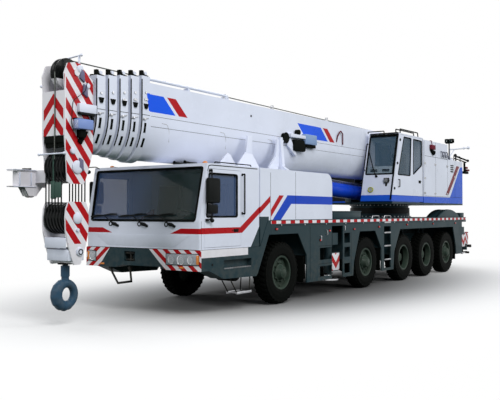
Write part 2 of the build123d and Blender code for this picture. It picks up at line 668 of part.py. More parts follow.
def crane_cab_glass():
    near, far = SIDE_Y
    outer, inner = crane_cab_outline(18), crane_cab_outline(18 + GLASS)
    slab = side_prism([outer[0], outer[1], inner[1], inner[0]], near, far)
    gap, wall = SEAT, CRANE_WALL
    hole = box((CRANE_CAB_FRONT[1] - 2 * wall, CRANE_CAB_FRONT[0]), (near + wall + gap, far - wall - gap),
               (CRANE_SCREEN_Z[0] + gap, CRANE_SCREEN_Z[1] - gap))
    (back, front), (low, high) = INNER_PANE
    pane = box((back + gap, front - gap), (near + 20, near + 20 + GLASS), (low + gap, high - gap))
    return Compound([(slab & hole).solid(), pane.solid()])


def crane_cab_door():
    far = SIDE_Y[1]
    door = side_prism(crane_door_outline(CLEAR), far - CRANE_SKIN, far)
    for outline in CRANE_PANES:
        door -= side_prism(outline, far - CRANE_SKIN - 1, far + 1)
    return door


# ---------------------------------------------------------------- lifting cylinder

def lift_axis(distance):
    """A point on the lifting cylinder's axis, so far from its base pin."""
    dx, dz = LIFT_EYE[0] - LIFT_BASE[0], LIFT_EYE[1] - LIFT_BASE[1]
    share = distance / hypot(dx, dz)
    return (LIFT_BASE[0] + share * dx, 0, LIFT_BASE[1] + share * dz)


def lift_length():
    return hypot(LIFT_EYE[0] - LIFT_BASE[0], LIFT_EYE[1] - LIFT_BASE[1])


def lift_cylinder():
    mouth = lift_length() - 260
    barrel = rod(lift_axis(330), lift_axis(mouth), BARREL_R)
    barrel -= rod(lift_axis(400), lift_axis(mouth - 120), BORE_R)
    barrel -= rod(lift_axis(mouth - 121), lift_axis(mouth + 1), ROD_R + SEAT)
    eye = cross_rod(*LIFT_BASE, -LIFT_HALF, LIFT_HALF, 120) + rod(lift_axis(0), lift_axis(331), 100)
    return barrel + eye - cross_rod(*LIFT_BASE, -LIFT_HALF - 1, LIFT_HALF + 1, LIFT_PIN_R + SEAT)


def lift_rod():
    length = lift_length()
    bar = rod(lift_axis(420), lift_axis(length), ROD_R) + rod(lift_axis(420), lift_axis(620), BORE_R - SEAT)
    bar += cross_rod(*LIFT_EYE, -LIFT_HALF, LIFT_HALF, 130)
    return bar - cross_rod(*LIFT_EYE, -LIFT_HALF - 1, LIFT_HALF + 1, LIFT_PIN_R + CLEAR)


# ---------------------------------------------------------------- boom

def boom_face(index, grow, rise, x):
    """The boom's outline at x: flat top and sides, oval belly, grown all round and at the top."""
    half = BOOM_HALF - index * SECTION_STEP + grow
    top = BOOM_TOP - index * SECTION_STEP + rise
    depth = BELLY_TOP - BOOM_BOTTOM - index * SECTION_STEP + grow
    small = BELLY_ROUND - index * SECTION_STEP + grow
    large = (half ** 2 + (depth - small) ** 2 - small ** 2) / (2 * (half - small))
    turn = atan2(depth - small, large - half)
    middle, meet = [(large * cos(angle) - large + half, BELLY_TOP - large * sin(angle)) for angle in (turn / 2, turn)]
    flat = Polyline((x, -half, BELLY_TOP), (x, -half, top), (x, half, top), (x, half, BELLY_TOP))
    left = ThreePointArc((x, half, BELLY_TOP), (x, *middle), (x, *meet))
    bottom = ThreePointArc((x, *meet), (x, 0, BELLY_TOP - depth), (x, -meet[0], meet[1]))
    right = ThreePointArc((x, -meet[0], meet[1]), (x, -middle[0], middle[1]), (x, -half, BELLY_TOP))
    return make_face([flat, left, bottom, right])


def boom_tube(index, x0, x1, grow, rise):
    """A stretch of tube that fits a section: hollow by the section's own inside."""
    solid = extrude(boom_face(index, grow, rise, x0), amount=x1 - x0, dir=(1, 0, 0))
    bore = boom_face(index, -BOOM_WALL, -BOOM_WALL, x0 - 1)
    return solid - extrude(bore, amount=x1 - x0 + 2, dir=(1, 0, 0))


def slide_pads(index):
    """Pads in a section's mouth, on both sides and on top, for the next section to slide on."""
    front = COLLAR_FRONT + index * COLLAR_PITCH
    inside = BOOM_HALF - index * SECTION_STEP - BOOM_WALL
    outside = BOOM_HALF - (index + 1) * SECTION_STEP + SEAT
    top_in = BOOM_TOP - index * SECTION_STEP - BOOM_WALL
    top_out = BOOM_TOP - (index + 1) * SECTION_STEP + SEAT
    span = (front - 160, front - 20)
    pads = [box(span, (side * inside, side * outside), PAD_Z) for side in (-1, 1)]
    pads += [box(span, (side * 60, side * (outside - 60)), (top_out, top_in)) for side in (-1, 1)]
    return pads


def collar(index):
    front = COLLAR_FRONT + index * COLLAR_PITCH
    return boom_tube(index, front - COLLAR_LENGTH, front, COLLAR_LIP, COLLAR_RISE)


def boom_section(index):
    """Telescoping section 1 to 4: tube, collar and the pads for the next one."""
    front = COLLAR_FRONT + index * COLLAR_PITCH
    section = boom_tube(index, TUBE_REAR + index * 60, front - COLLAR_LENGTH + 1, 0, 0) + collar(index)
    for pad in slide_pads(index):
        section += pad
    return section


def boom_base():
    tube = boom_tube(0, FOOT_X, COLLAR_FRONT - COLLAR_LENGTH + 1, 0, 0) + collar(0)
    for pad in slide_pads(0):
        tube += pad
    tube -= side_prism([(FOOT_X - 1, 2600), (FOOT_X - 1, 3150), (-11800, 2750), (-11700, 2600)], -500, 500)
    tube += cross_rod(*PIVOT, -BOOM_HALF, BOOM_HALF, 190)
    tube -= cross_rod(*PIVOT, -BOOM_HALF - 1, BOOM_HALF + 1, PIVOT_R + SEAT)
    x, z = LIFT_EYE
    inside = extrude(boom_face(0, -BOOM_WALL, -BOOM_WALL, x - 400), amount=800, dir=(1, 0, 0))
    for side in (-1, 1):
        ear = side_prism([(x - 330, 2800), (x - 110, z - 110), (x + 110, z - 110), (x + 330, 2800)],
                         side * (LIFT_HALF + CLEAR), side * (LIFT_HALF + CLEAR + 50))
        tube += ear - inside
    tube += cross_rod(x, z, -LIFT_HALF - 50, LIFT_HALF + 50, LIFT_PIN_R)
    return tube


def grooved_sheaves(x, z, half, radius, grooves):
    """A row of rope sheaves on one axle, as one turned piece."""
    pitch = 2 * half / grooves
    outline = [(0, -half)]
    for n in range(grooves):
        start = -half + n * pitch
        outline += [(radius, start), (radius, start + pitch * 0.2), (radius - GROOVE, start + pitch * 0.35),
                    (radius - GROOVE, start + pitch * 0.65), (radius, start + pitch * 0.8)]
    outline += [(radius, half), (0, half)]
    return Pos(x, 0, z) * Rot(90, 0, 0) * turned(outline)


def auxiliary_nose(half):
    """The box arm for a single line, with a small sheave between two cheeks below it."""
    near, far = NOSE_Y
    low, high = NOSE_Z
    nose = box((NOSE_BACK, NOSE_X), (near, far), (high - 20, high))
    nose += box((NOSE_BACK + 200, NOSE_X), (near, far), (low, low + 16))
    nose += box((NOSE_BACK, NOSE_X - 100), (near + 12, far - 12), (low, high))
    nose += box((NOSE_BACK, NOSE_BACK + 200), (far - 40, -half - 1), (low + 70, high))
    x, z = NOSE_SHEAVE
    cheek = [(x - 190, low + 1), (x - 70, z - 80), (x + 70, z - 80), (x + 160, low + 1)]
    for y in (near, far - 14):
        nose += side_prism(cheek, y, y + 14)
    middle = (near + far) / 2
    nose += cross_rod(x, z, near, far, 26)
    return nose + Pos(0, middle, 0) * grooved_sheaves(x, z, NOSE_SHEAVE_HALF, NOSE_SHEAVE_R, 1)


def boom_head():
    """The last section with the head's side plates, sheaves and auxiliary nose."""
    index = SECTIONS
    half = BOOM_HALF - index * SECTION_STEP
    head = boom_tube(index, TUBE_REAR + index * 60, HEAD_X + 20, 0, 0)
    for side in (-1, 1):
        head += side_prism(HEAD_SIDE, side * half, side * (half + HEAD_PLATE))
    head += box((HEAD_X, HEAD_X + 20), (-half - 1, half + 1), (2870, 3860))
    outer = half + HEAD_PLATE
    head += box(HEAD_FACE_X, (-outer, outer), HEAD_FACE_Z)
    x, z = TOP_SHEAVE
    reach, slot = SHEAVE_R + CLEAR, TOP_SHEAVE_HALF + CLEAR
    head -= box((x - reach, HEAD_X + 21), (-slot, slot), (z - reach, BOOM_TOP))
    axle = outer + 15
    head += grooved_sheaves(FALL_X, FALL_Z, FALLS_HALF, SHEAVE_R, 6)
    head += cross_rod(FALL_X, FALL_Z, -axle, axle, AXLE_R)
    head += grooved_sheaves(x, z, TOP_SHEAVE_HALF, SHEAVE_R, 1) + cross_rod(x, z, -axle, axle, AXLE_R)
    return head + auxiliary_nose(half)


def hook_block():
    x = FALL_X
    cheeks = [(x + out, z) for out, z in CHEEK_EDGE] + [(x - out, z) for out, z in CHEEK_EDGE[::-1]]
    axle = BLOCK_HALF + 15
    block = grooved_sheaves(x, BLOCK_Z, FALLS_HALF, SHEAVE_R, 6) + cross_rod(x, BLOCK_Z, -axle, axle, AXLE_R)
    for side in (-1, 1):
        block += side_prism(cheeks, side * (BLOCK_HALF - CHEEK), side * BLOCK_HALF)
    low, high = CROSSHEAD_Z
    block += box((x - NUT_R, x + NUT_R), (-BLOCK_HALF + 1, BLOCK_HALF - 1), (low, high))
    block -= rod((x, 0, low - 1), (x, 0, high + 1), SHANK_R + SEAT)
    for y in FALL_Y:
        for end in (-1, 1):
            fall_x = x + end * (SHEAVE_R - GROOVE + SEAT + ROPE_R)
            block += rod((fall_x, y, BLOCK_Z), (fall_x, y, FALL_Z), ROPE_R)
            tie_y = (y - ROPE_R / 2, y + ROPE_R / 2)
            block += box((fall_x - end * 30, fall_x), tie_y, (BLOCK_Z - 10, BLOCK_Z + 10))
    return block


def hook():
    x = FALL_X
    top = CROSSHEAD_Z[1]
    shank = rod((x, 0, HOOK_NECK - 120), (x, 0, top + 60), SHANK_R)
    shank += rod((x, 0, top + SEAT), (x, 0, top + 60), NUT_R)
    shank += rod((x, 0, 780), (x, 0, HOOK_NECK + 20), 70)
    centre_z = 780 - HOOK_BOWL_R - 150
    ring = Pos(x, 0, centre_z) * Rot(90, 0, 0) * Torus(HOOK_BOWL_R + HOOK_SECTION - 20, HOOK_SECTION)
    mouth = side_prism([(x, centre_z), (x + 30, centre_z + 400), (x + 400, centre_z + 400),
                        (x + 400, centre_z + 60)], -100, 100)
    return (ring - mouth) + shank + rod((x, 0, centre_z + HOOK_BOWL_R + 20), (x, 0, 800), 60)


# ---------------------------------------------------------------- the whole machine

def nodes():
    """Every sub-part by name."""
    pieces = {
        "chassis_frame": chassis_frame(),
        "carrier_deck": deck(),
        "axle_beams": axle_beams(),
        "front_bumper": bumper(),
        "driver_cab": driver_cab(),
        "cab_windscreen": windscreen(),
        "cab_interior": cab_interior(),
        "engine_hood": hood(),
        "boom_rest": boom_rest(),
        "slewing_ring": slewing_ring(),
        "superstructure_frame": superstructure_frame(),
        "machine_covers": machine_covers(),
        "hoist_winch": winch(),
        "crane_cab": crane_cab(),
        "crane_cab_glass": crane_cab_glass(),
        "crane_cab_door": crane_cab_door(),
        "lift_cylinder": lift_cylinder(),
        "lift_rod": lift_rod(),
        "boom_base": boom_base(),
        "boom_head": boom_head(),
        "hook_block": hook_block(),
        "hook": hook(),
    }
    for index in range(1, SECTIONS):
        pieces[f"boom_section_{index}"] = boom_section(index)
    for side, label in ((1, "left"), (-1, "right")):
        pieces[f"cab_door_{label}"] = cab_door(side)
        for name, left_x, right_x, float_z in OUTRIGGERS:
            x = left_x if side == 1 else right_x
            pieces[f"outrigger_beam_{name}_{label}"] = outrigger_beam(x, side, float_z)
            pieces[f"outrigger_jack_{name}_{label}"] = outrigger_jack(x, side, float_z)
        for number, x, steered, proud in AXLES:
            pieces[f"tyre_{number}_{label}"] = wheel_place(x, side) * tyre()
            pieces[f"rim_{number}_{label}"] = wheel_place(x, side) * rim(proud)
            if steered:
                pieces[f"knuckle_{number}_{label}"] = knuckle(x, side, proud)
    return pieces


os.makedirs("parts", exist_ok=True)
to_origin = Pos(-(NOSE_X + TAIL_X) / 2, 0, 0)
for name, shape in nodes().items():
    export_step(to_origin * shape, f"parts/{name}.step")
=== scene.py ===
# %% [markdown]
# # A five-axle truck crane
# The packed model comes in as a fixed frame: every steel part already has its true shape, size and place.
# This notebook gives it its finish and its fittings: paint and markings, glass, rubber, tyres, lamps,
# ropes, mirrors, rails and steps. Lengths are in metres, X runs forward, Y to the vehicle's left, Z up.

# %% Load the frame
import math

import bpy
from mathutils import Matrix, Vector


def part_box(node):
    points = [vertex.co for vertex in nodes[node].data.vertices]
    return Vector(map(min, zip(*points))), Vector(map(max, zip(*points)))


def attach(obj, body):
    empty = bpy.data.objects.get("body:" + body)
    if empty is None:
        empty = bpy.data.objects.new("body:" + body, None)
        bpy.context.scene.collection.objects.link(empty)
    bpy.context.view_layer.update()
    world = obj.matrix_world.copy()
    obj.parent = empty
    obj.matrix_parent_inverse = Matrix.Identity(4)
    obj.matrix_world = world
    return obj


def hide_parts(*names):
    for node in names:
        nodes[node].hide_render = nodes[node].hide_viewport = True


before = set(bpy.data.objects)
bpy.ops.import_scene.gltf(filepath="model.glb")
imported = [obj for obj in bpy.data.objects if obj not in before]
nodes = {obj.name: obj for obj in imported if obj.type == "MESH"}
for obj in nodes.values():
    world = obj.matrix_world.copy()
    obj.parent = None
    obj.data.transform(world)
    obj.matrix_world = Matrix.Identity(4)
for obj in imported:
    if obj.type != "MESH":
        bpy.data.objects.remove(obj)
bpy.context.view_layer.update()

# %% [markdown]
# A vehicle is measured from one face. Here it is the front of the driver's cab, so a fitting that sits
# 1.2 m behind that face is placed at `at(-1.2, y, z)`. The number that ties this to the frame is read
# from the cab's own box, so the fittings follow the cab wherever the frame has it.

# %% The datum
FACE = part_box("driver_cab")[1].x
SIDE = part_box("carrier_deck")[1].y
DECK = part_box("carrier_deck")[1].z
CAB_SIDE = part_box("driver_cab")[1].y
CAB_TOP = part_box("driver_cab")[1].z
HOOD_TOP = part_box("engine_hood")[1].z
TYRE_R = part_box("tyre_1_left")[1].z / 2
OVER_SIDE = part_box("machine_covers")[1].y
SIDES = ((1, "left"), (-1, "right"))
AHEAD, ACROSS, UP = (1, 0, 0), (0, 1, 0), (0, 0, 1)


def at(x, y, z):
    """A point measured from the cab's front face, the centre plane and the ground."""
    return Vector((FACE + x, y, z))


print("cab face at", round(FACE, 3), "half width", round(SIDE, 3), "deck", round(DECK, 3))

# %% [markdown]
# The viewer stands ahead of the crane on its left, at eye height. A lens of 52 mm keeps the long boom
# from stretching. An orbiting camera could be set by angle, but a place and a direction are easier to read.

# %% Camera
LENS_MM = 52.35
EYE = at(9.4853, 8.9689, 1.7835)
LOOK = Vector((-0.8208, -0.5709, 0.0177))
scene = bpy.context.scene
scene.view_settings.view_transform = "Standard"
camera = bpy.data.objects.new("camera", bpy.data.cameras.new("camera"))
scene.collection.objects.link(camera)
scene.camera = camera
camera.data.lens = LENS_MM
camera.data.sensor_width = 36
camera.data.clip_end = 400
camera.location = EYE
camera.rotation_euler = LOOK.to_track_quat("-Z", "Y").to_euler()
print("camera", [round(v, 2) for v in camera.location])

# %% [markdown]
# A studio for a vehicle is a pale floor with large soft lamps around it. The floor stays white to the
# camera, yet it must keep the shadow under the wheels, so the floor is a real surface and only the sky
# is lifted to white. Below the crane a painted shadow darkens the floor's colour, which fades to pale
# around it, so it isn't an even floor. The sky's light on the crane is weaker than the white that is seen,
# and the floor throws less light up than it shows, or the underside would glow. The Light Path node
# makes both possible: it tells the rays that are looked along from those that carry light.

# %% Floor and sky
def only_selected(piece=None):
    """Leaves edit mode, deselects everything, and selects one piece if it is given."""
    if bpy.context.object and bpy.context.object.mode != "OBJECT":
        bpy.ops.object.mode_set(mode="OBJECT")
    bpy.ops.object.select_all(action="DESELECT")
    if piece:
        piece.select_set(True)
        bpy.context.view_layer.objects.active = piece
    return piece


def mix_shaders(tree, share, first, second):
    mixed = tree.nodes.new("ShaderNodeMixShader")
    for socket, value in zip(mixed.inputs, (share, first, second)):
        tree.links.new(value, socket)
    return mixed.outputs[0]


def seen_as_white(tree, light, white):
    """Mixes two shaders: white along rays that are looked along, light along all others."""
    path = tree.nodes.new("ShaderNodeLightPath")
    total = path.outputs["Is Camera Ray"]
    for kind in ("Is Glossy Ray", "Is Transmission Ray"):
        larger = tree.nodes.new("ShaderNodeMath")
        larger.operation = "MAXIMUM"
        tree.links.new(total, larger.inputs[0])
        tree.links.new(path.outputs[kind], larger.inputs[1])
        total = larger.outputs[0]
    return mix_shaders(tree, total, light, white)


def smooth_step(tree, value, span, shades=(0, 1)):
    """Runs gently from one shade to another while a value crosses a span."""
    step = tree.nodes.new("ShaderNodeMapRange")
    step.interpolation_type = "SMOOTHSTEP"
    for name, number in zip(("From Min", "From Max", "To Min", "To Max"), (*span, *shades)):
        step.inputs[name].default_value = number
    tree.links.new(value, step.inputs["Value"])
    return step.outputs["Result"]


SKY_STRENGTH = 0.36
# The floor's colour below the crane is a painted shadow: dark close in, pale further out.
SHADOW_PAINT_SPAN, SHADOW_PAINT_SHADES = (0.8, 5.2), (0.1, 0.94)
WHITE_FLOOR = (2.2, 7.0)
sky = bpy.data.worlds.new("studio sky")
scene.world = sky
sky.use_nodes = True
sky_light = sky.node_tree.nodes["Background"]
sky_light.inputs["Color"].default_value = (0.9, 0.95, 1.0, 1)
sky_light.inputs["Strength"].default_value = SKY_STRENGTH
sky_white = sky.node_tree.nodes.new("ShaderNodeBackground")
sky_white.inputs["Color"].default_value = (1, 1, 1, 1)
sky.node_tree.links.new(seen_as_white(sky.node_tree, sky_light.outputs[0], sky_white.outputs[0]),
                        sky.node_tree.nodes["World Output"].inputs[0])

only_selected()
bpy.ops.mesh.primitive_plane_add(size=260)
floor = bpy.context.object
floor.name = "floor"
floor_paint = bpy.data.materials.new("pale floor")
floor_paint.use_nodes = True
tree = floor_paint.node_tree
pale = tree.nodes["Principled BSDF"]
pale.inputs["Roughness"].default_value = 0.95
pale.inputs["Specular IOR Level"].default_value = 0.0
dull = tree.nodes.new("ShaderNodeBsdfDiffuse")
dull.inputs["Color"].default_value = (0.06, 0.09, 0.06, 1)
far_white = tree.nodes.new("ShaderNodeEmission")
far_white.inputs["Color"].default_value = (1, 1, 1, 1)
place = tree.nodes.new("ShaderNodeTexCoord")
stretch = tree.nodes.new("ShaderNodeVectorMath")
stretch.operation = "MULTIPLY"
stretch.inputs[1].default_value = (0.5, 1, 0)
reach = tree.nodes.new("ShaderNodeVectorMath")
reach.operation = "LENGTH"
tree.links.new(place.outputs["Object"], stretch.inputs[0])
tree.links.new(stretch.outputs[0], reach.inputs[0])
distance = reach.outputs["Value"]
# The floor's base colour carries the painted shadow below the crane.
tree.links.new(smooth_step(tree, distance, SHADOW_PAINT_SPAN, SHADOW_PAINT_SHADES), pale.inputs["Base Color"])
seen = mix_shaders(tree, smooth_step(tree, distance, WHITE_FLOOR), pale.outputs[0], far_white.outputs[0])
tree.links.new(seen_as_white(tree, dull.outputs[0], seen), tree.nodes["Material Output"].inputs["Surface"])
floor.data.materials.append(floor_paint)
print("floor and sky ready")


# %% Lamps
def soft_lamp(name, place, target, size, power):
    """A large square lamp that shines from one place to another."""
    lamp = bpy.data.objects.new(name, bpy.data.lights.new(name, "AREA"))
    scene.collection.objects.link(lamp)
    lamp.location = place
    lamp.rotation_euler = (target - place).to_track_quat("-Z", "Y").to_euler()
    lamp.data.size = size
    lamp.data.energy = power
    return lamp


LAMPS = {"key_lamp": (at(8, 15, 16), at(-5, 0, 1.5), 10, 3000),
         "side_lamp": (at(-13, 22, 13), at(-9, 0, 1.5), 12, 2500),
         "front_lamp": (at(18, -6, 8), at(0, 0, 2), 8, 1150),
         "back_lamp": (at(-27, -15, 15), at(-8, 0, 2), 12, 1500),
         "right_lamp": (at(-4, -22, 14), at(-6, 0, 1.5), 12, 1500)}
for name, (place, target, size, power) in LAMPS.items():
    soft_lamp(name, place, target, size, power)
print("lamps", len(LAMPS))

# %% [markdown]
# Paint comes next, because it covers most of the crane. Real paint isn't one flat colour: it has a fine
# orange peel, it is a shade duller in patches, and road dirt gathers low down. A painted texture image
# could hold all that, but a recipe of shader nodes stays sharp at any distance. `Recipe` gives short
# names to the nodes that are needed again and again.

# %% A short way to write shaders
class Recipe:
    """One material, with short ways to add its nodes."""

    def __init__(self, name):
        self.material = bpy.data.materials.new(name)
        self.material.use_nodes = True
        self.tree = self.material.node_tree
        self.shader = self.tree.nodes["Principled BSDF"]
        self.place = self.tree.nodes.new("ShaderNodeTexCoord").outputs["Object"]

    def feed(self, socket, value):
        """Links a node's output to a socket, or sets a plain value."""
        if isinstance(value, bpy.types.NodeSocket):
            self.tree.links.new(value, socket)
        elif socket.type == "RGBA":
            socket.default_value = (*value[:3], 1)
        else:
            socket.default_value = value

    def set(self, name, value):
        self.feed(self.shader.inputs[name], value)

    def math(self, operation, *values):
        node = self.tree.nodes.new("ShaderNodeMath")
        node.operation = operation
        for socket, value in zip(node.inputs, values):
            self.feed(socket, value)
        return node.outputs[0]

    def along(self, direction):
        """How far a point lies along a direction."""
        node = self.tree.nodes.new("ShaderNodeVectorMath")
        node.operation = "DOT_PRODUCT"
        self.feed(node.inputs[0], self.place)
        node.inputs[1].default_value = direction
        return node.outputs["Value"]

    def either(self, *masks):
        result = masks[0]
        for mask in masks[1:]:
            result = self.math("MAXIMUM", result, mask)
        return result

    def over(self, value, low):
        return self.math("GREATER_THAN", value, low)

    def under(self, value, high):
        return self.math("LESS_THAN", value, high)

    def both(self, *masks):
        result = masks[0]
        for mask in masks[1:]:
            result = self.math("MULTIPLY", result, mask)
        return result

    def between(self, value, low, high):
        """1 where a value is between two others."""
        return self.both(self.over(value, low), self.under(value, high))

    def from_centre(self):
        """The distance from the centre plane."""
        return self.math("ABSOLUTE", self.along(ACROSS))

    def axes(self):
        """How far a point is out from the centre plane, up, and ahead."""
        return self.from_centre(), self.along(UP), self.along(AHEAD)

    def inside(self, outline):
        """1 inside a convex outline that is drawn on the vehicle's side, as x and z from the datum."""
        points = [Vector((FACE + x, z)) for x, z in outline]
        middle = sum(points, Vector((0, 0))) / len(points)
        mask = None
        for start, end in zip(points, points[1:] + points[:1]):
            inward = Vector((start.y - end.y, end.x - start.x)).normalized()
            if inward.dot(middle - start) < 0:
                inward = -inward
            edge = self.over(self.along((inward.x, 0, inward.y)), inward.dot(start))
            mask = edge if mask is None else self.both(mask, edge)
        return mask

    def stripes(self, value, pitch, start=0.0, share=0.5):
        """1 on the painted share of stripes that repeat along a value."""
        turns = self.math("DIVIDE", self.math("SUBTRACT", value, start), pitch)
        return self.under(self.math("FRACT", turns), share)

    def mix(self, amount, first, second):
        """The first colour where the amount is 0, the second where it is 1."""
        node = self.tree.nodes.new("ShaderNodeMix")
        node.data_type = "RGBA"
        self.feed(node.inputs["Factor"], amount)
        self.feed(node.inputs[6], first)
        self.feed(node.inputs[7], second)
        return node.outputs[2]

    def ramp(self, value, start, end, low=0.0, high=1.0):
        """Runs from low to high while a value runs from start to end."""
        node = self.tree.nodes.new("ShaderNodeMapRange")
        self.feed(node.inputs["Value"], value)
        for name, number in zip(("From Min", "From Max", "To Min", "To Max"), (start, end, low, high)):
            node.inputs[name].default_value = number
        return node.outputs["Result"]

    def cloud(self, scale, detail=4.0, low=0.35, high=0.65):
        """Soft noise that runs from 0 to 1."""
        node = self.tree.nodes.new("ShaderNodeTexNoise")
        node.inputs["Scale"].default_value = scale
        node.inputs["Detail"].default_value = detail
        self.feed(node.inputs["Vector"], self.place)
        return self.ramp(node.outputs["Fac"], low, high)

    def bump(self, height, strength, distance):
        node = self.tree.nodes.new("ShaderNodeBump")
        node.inputs["Strength"].default_value = strength
        node.inputs["Distance"].default_value = distance
        self.feed(node.inputs["Height"], height)
        self.set("Normal", node.outputs[0])


def colour(red, green, blue):
    """A colour as a paint card gives it, 0 to 255, turned into the linear light that shaders use."""
    return tuple((c / 255 / 12.92) if c < 11 else ((c / 255 + 0.055) / 1.055) ** 2.4
                 for c in (red, green, blue))


print("shader words:", [word for word in vars(Recipe) if not word.startswith("_")])

# %% [markdown]
# One function makes every painted finish. The markings of a crane are painted on the same coat, so they
# belong to the material too. Each band is an outline, and a point is inside when it is on the inner side
# of every edge. Thin sheets of colour could be laid on the steel instead, but they would show an edge.

# %% Painted steel
WHITE = colour(222, 227, 242)
SIGN_WHITE = colour(228, 226, 232)
BLUE = colour(14, 86, 228)
DEEP_BLUE = colour(16, 66, 186)
RED = colour(172, 8, 20)
DARK_RED = colour(112, 14, 30)
CHASSIS = colour(34, 54, 60)
BLACK = colour(14, 17, 17)
DUST = colour(118, 112, 102)


def painted(name, base, bands=None, dust=0.2, rough=0.26, coat=0.04):
    """A coat of paint. `bands` gets the recipe and gives pairs of a mask and a colour."""
    paint = Recipe(name)
    shade = paint.mix(paint.cloud(0.8, 5), base, tuple(c * 0.93 for c in base))
    for mask, band in bands(paint) if bands else ():
        shade = paint.mix(mask, shade, band)
    streaks = paint.cloud(9, 6, 0.4, 0.62)
    low_down = paint.ramp(paint.along(UP), 1.5, 0.3)
    grime = paint.math("MULTIPLY", paint.both(low_down, streaks), dust)
    paint.set("Base Color", paint.mix(grime, shade, DUST))
    paint.set("Roughness", paint.math("ADD", paint.ramp(paint.cloud(2.5, 5), 0, 1, rough, rough + 0.1),
                                      grime))
    paint.set("Coat Weight", coat)
    paint.set("Coat Roughness", 0.06)
    paint.set("Specular IOR Level", 0.08)
    paint.bump(paint.cloud(180, 2, 0.2, 0.8), 0.08, 0.0006)
    return paint.material


def use(material, *names):
    """Gives CAD nodes a finish."""
    for name in names:
        nodes[name].data.materials.clear()
        nodes[name].data.materials.append(material)


white_paint = painted("white_paint", WHITE)
chassis_paint = painted("chassis_paint", CHASSIS, rough=0.36, coat=0.0)
black_paint = painted("black_paint", BLACK, rough=0.42, coat=0.0)
blue_paint = painted("lifting_blue", colour(24, 70, 200), rough=0.2, coat=0.2)
use(blue_paint, "lift_cylinder")
use(black_paint, "axle_beams", "slewing_ring", *[n for n in nodes if n.startswith("knuckle")])
print("paints", [m.name for m in bpy.data.materials if "paint" in m.name])

# %% [markdown]
# The driver's cab wears one red line that runs along its door, kinks and climbs the hood. On the hood a
# red and a blue band climb with it, and the blue one turns level and runs to the hood's end.

# %% Bands of the cab and hood
LINE_FOOT, LINE_TOP = 1.425, 1.517
LINE_START, LINE_SLANT = 0.696, 2.64


def cab_bands(paint):
    out, up, ahead = paint.axes()
    slanted = paint.over(paint.math("SUBTRACT", out, paint.math("MULTIPLY", up, LINE_SLANT)),
                         LINE_START - LINE_FOOT * LINE_SLANT)
    on_front = paint.both(paint.over(ahead, FACE - 0.1), slanted, paint.between(up, LINE_FOOT, LINE_TOP))
    level = paint.inside([(-0.02, 1.423), (-0.02, 1.527), (-1.155, 1.527), (-1.215, 1.423)])
    climb = paint.inside([(-1.153, 1.527), (-1.213, 1.423), (-2.12, 1.99), (-2.12, 2.11)])
    side = paint.over(out, CAB_SIDE - 0.14)
    on_side = paint.both(side, paint.either(level, climb))
    strut = paint.both(side, paint.inside([(-1.37, 1.0), (-1.76, 1.53), (-1.8, 1.53), (-1.8, 1.0)]))
    return [(paint.either(on_front, on_side), RED), (strut, CHASSIS)]


def hood_bands(paint):
    side = paint.over(paint.from_centre(), 1.2)
    red = paint.inside([(-2.14, 1.842), (-2.437, 2.125), (-2.604, 2.125), (-2.14, 1.7)])
    climb = paint.inside([(-2.1, 1.56), (-2.745, 2.133), (-2.885, 1.962), (-2.39, 1.56)])
    level = paint.inside([(-2.743, 2.133), (-5, 2.133), (-5, 1.962), (-2.883, 1.962)])
    line = paint.inside([(-1.7, 1.726), (-2.12, 1.99), (-2.12, 2.11), (-1.7, 1.846)])
    strut = paint.inside([(-1.7, 1.0), (-1.7, 1.712), (-2.068, 1.712), (-2.068, 1.0)])
    return [(paint.both(side, paint.either(red, line)), RED),
            (paint.both(side, paint.either(climb, level)), DEEP_BLUE), (paint.both(side, strut), CHASSIS)]


use(painted("cab_white", WHITE, cab_bands), "driver_cab", "cab_door_left", "cab_door_right")
use(painted("hood_white", WHITE, hood_bands), "engine_hood")
use(white_paint, "boom_rest")
print("bands on the cab and hood")

# %% [markdown]
# The boom is white with a blue block and a red stroke near each end of its side, all cut on one slant.
# Its telescoping sections are plain white. They sit inside one another, so only their collars show.

# %% Bands of the boom
def boom_bands(paint):
    side = paint.over(paint.from_centre(), 0.385)
    blue_ahead = paint.inside([(0.313, 3.836), (0.258, 3.533), (-0.497, 3.533), (-0.17, 3.836)])
    red_ahead = paint.inside([(-0.262, 3.836), (-0.5, 3.836), (-0.837, 3.533), (-0.59, 3.533)])
    blue_behind = paint.inside([(-4.747, 3.836), (-5.83, 3.836), (-6.182, 3.524), (-5.1, 3.524)])
    red_behind = paint.inside([(-5.93, 3.836), (-6.16, 3.836), (-6.532, 3.524), (-6.29, 3.524)])
    return [(paint.both(side, paint.either(blue_ahead, blue_behind)), BLUE),
            (paint.both(side, paint.either(red_ahead, red_behind)), RED)]


use(painted("boom_white", WHITE, boom_bands, rough=0.2, coat=0.1), "boom_base")
use(painted("section_white", WHITE, rough=0.2, coat=0.1), *[f"boom_section_{n}" for n in range(1, 5)])
print("bands on the boom")

# %% [markdown]
# Boom heads and hook blocks carry danger stripes, so that people see them swing. The head's side plates
# have slanted bars, its front plate has arrowheads that point up, and the sheaves are black. One
# material paints all of it, by how far a point is from the centre plane and from the front.

# %% Danger stripes of the head and hook block
HEAD_PLATE_Y = 0.2635
SHEAVE_Y = 0.2165
HEAD_FRONT = (FACE + 1.937, FACE + 1.958)
BLOCK_CHEEK_Y = 0.2745
BAR_SLOPE, BAR_PITCH, BAR_SHARE = 1.25, 0.32, 0.54


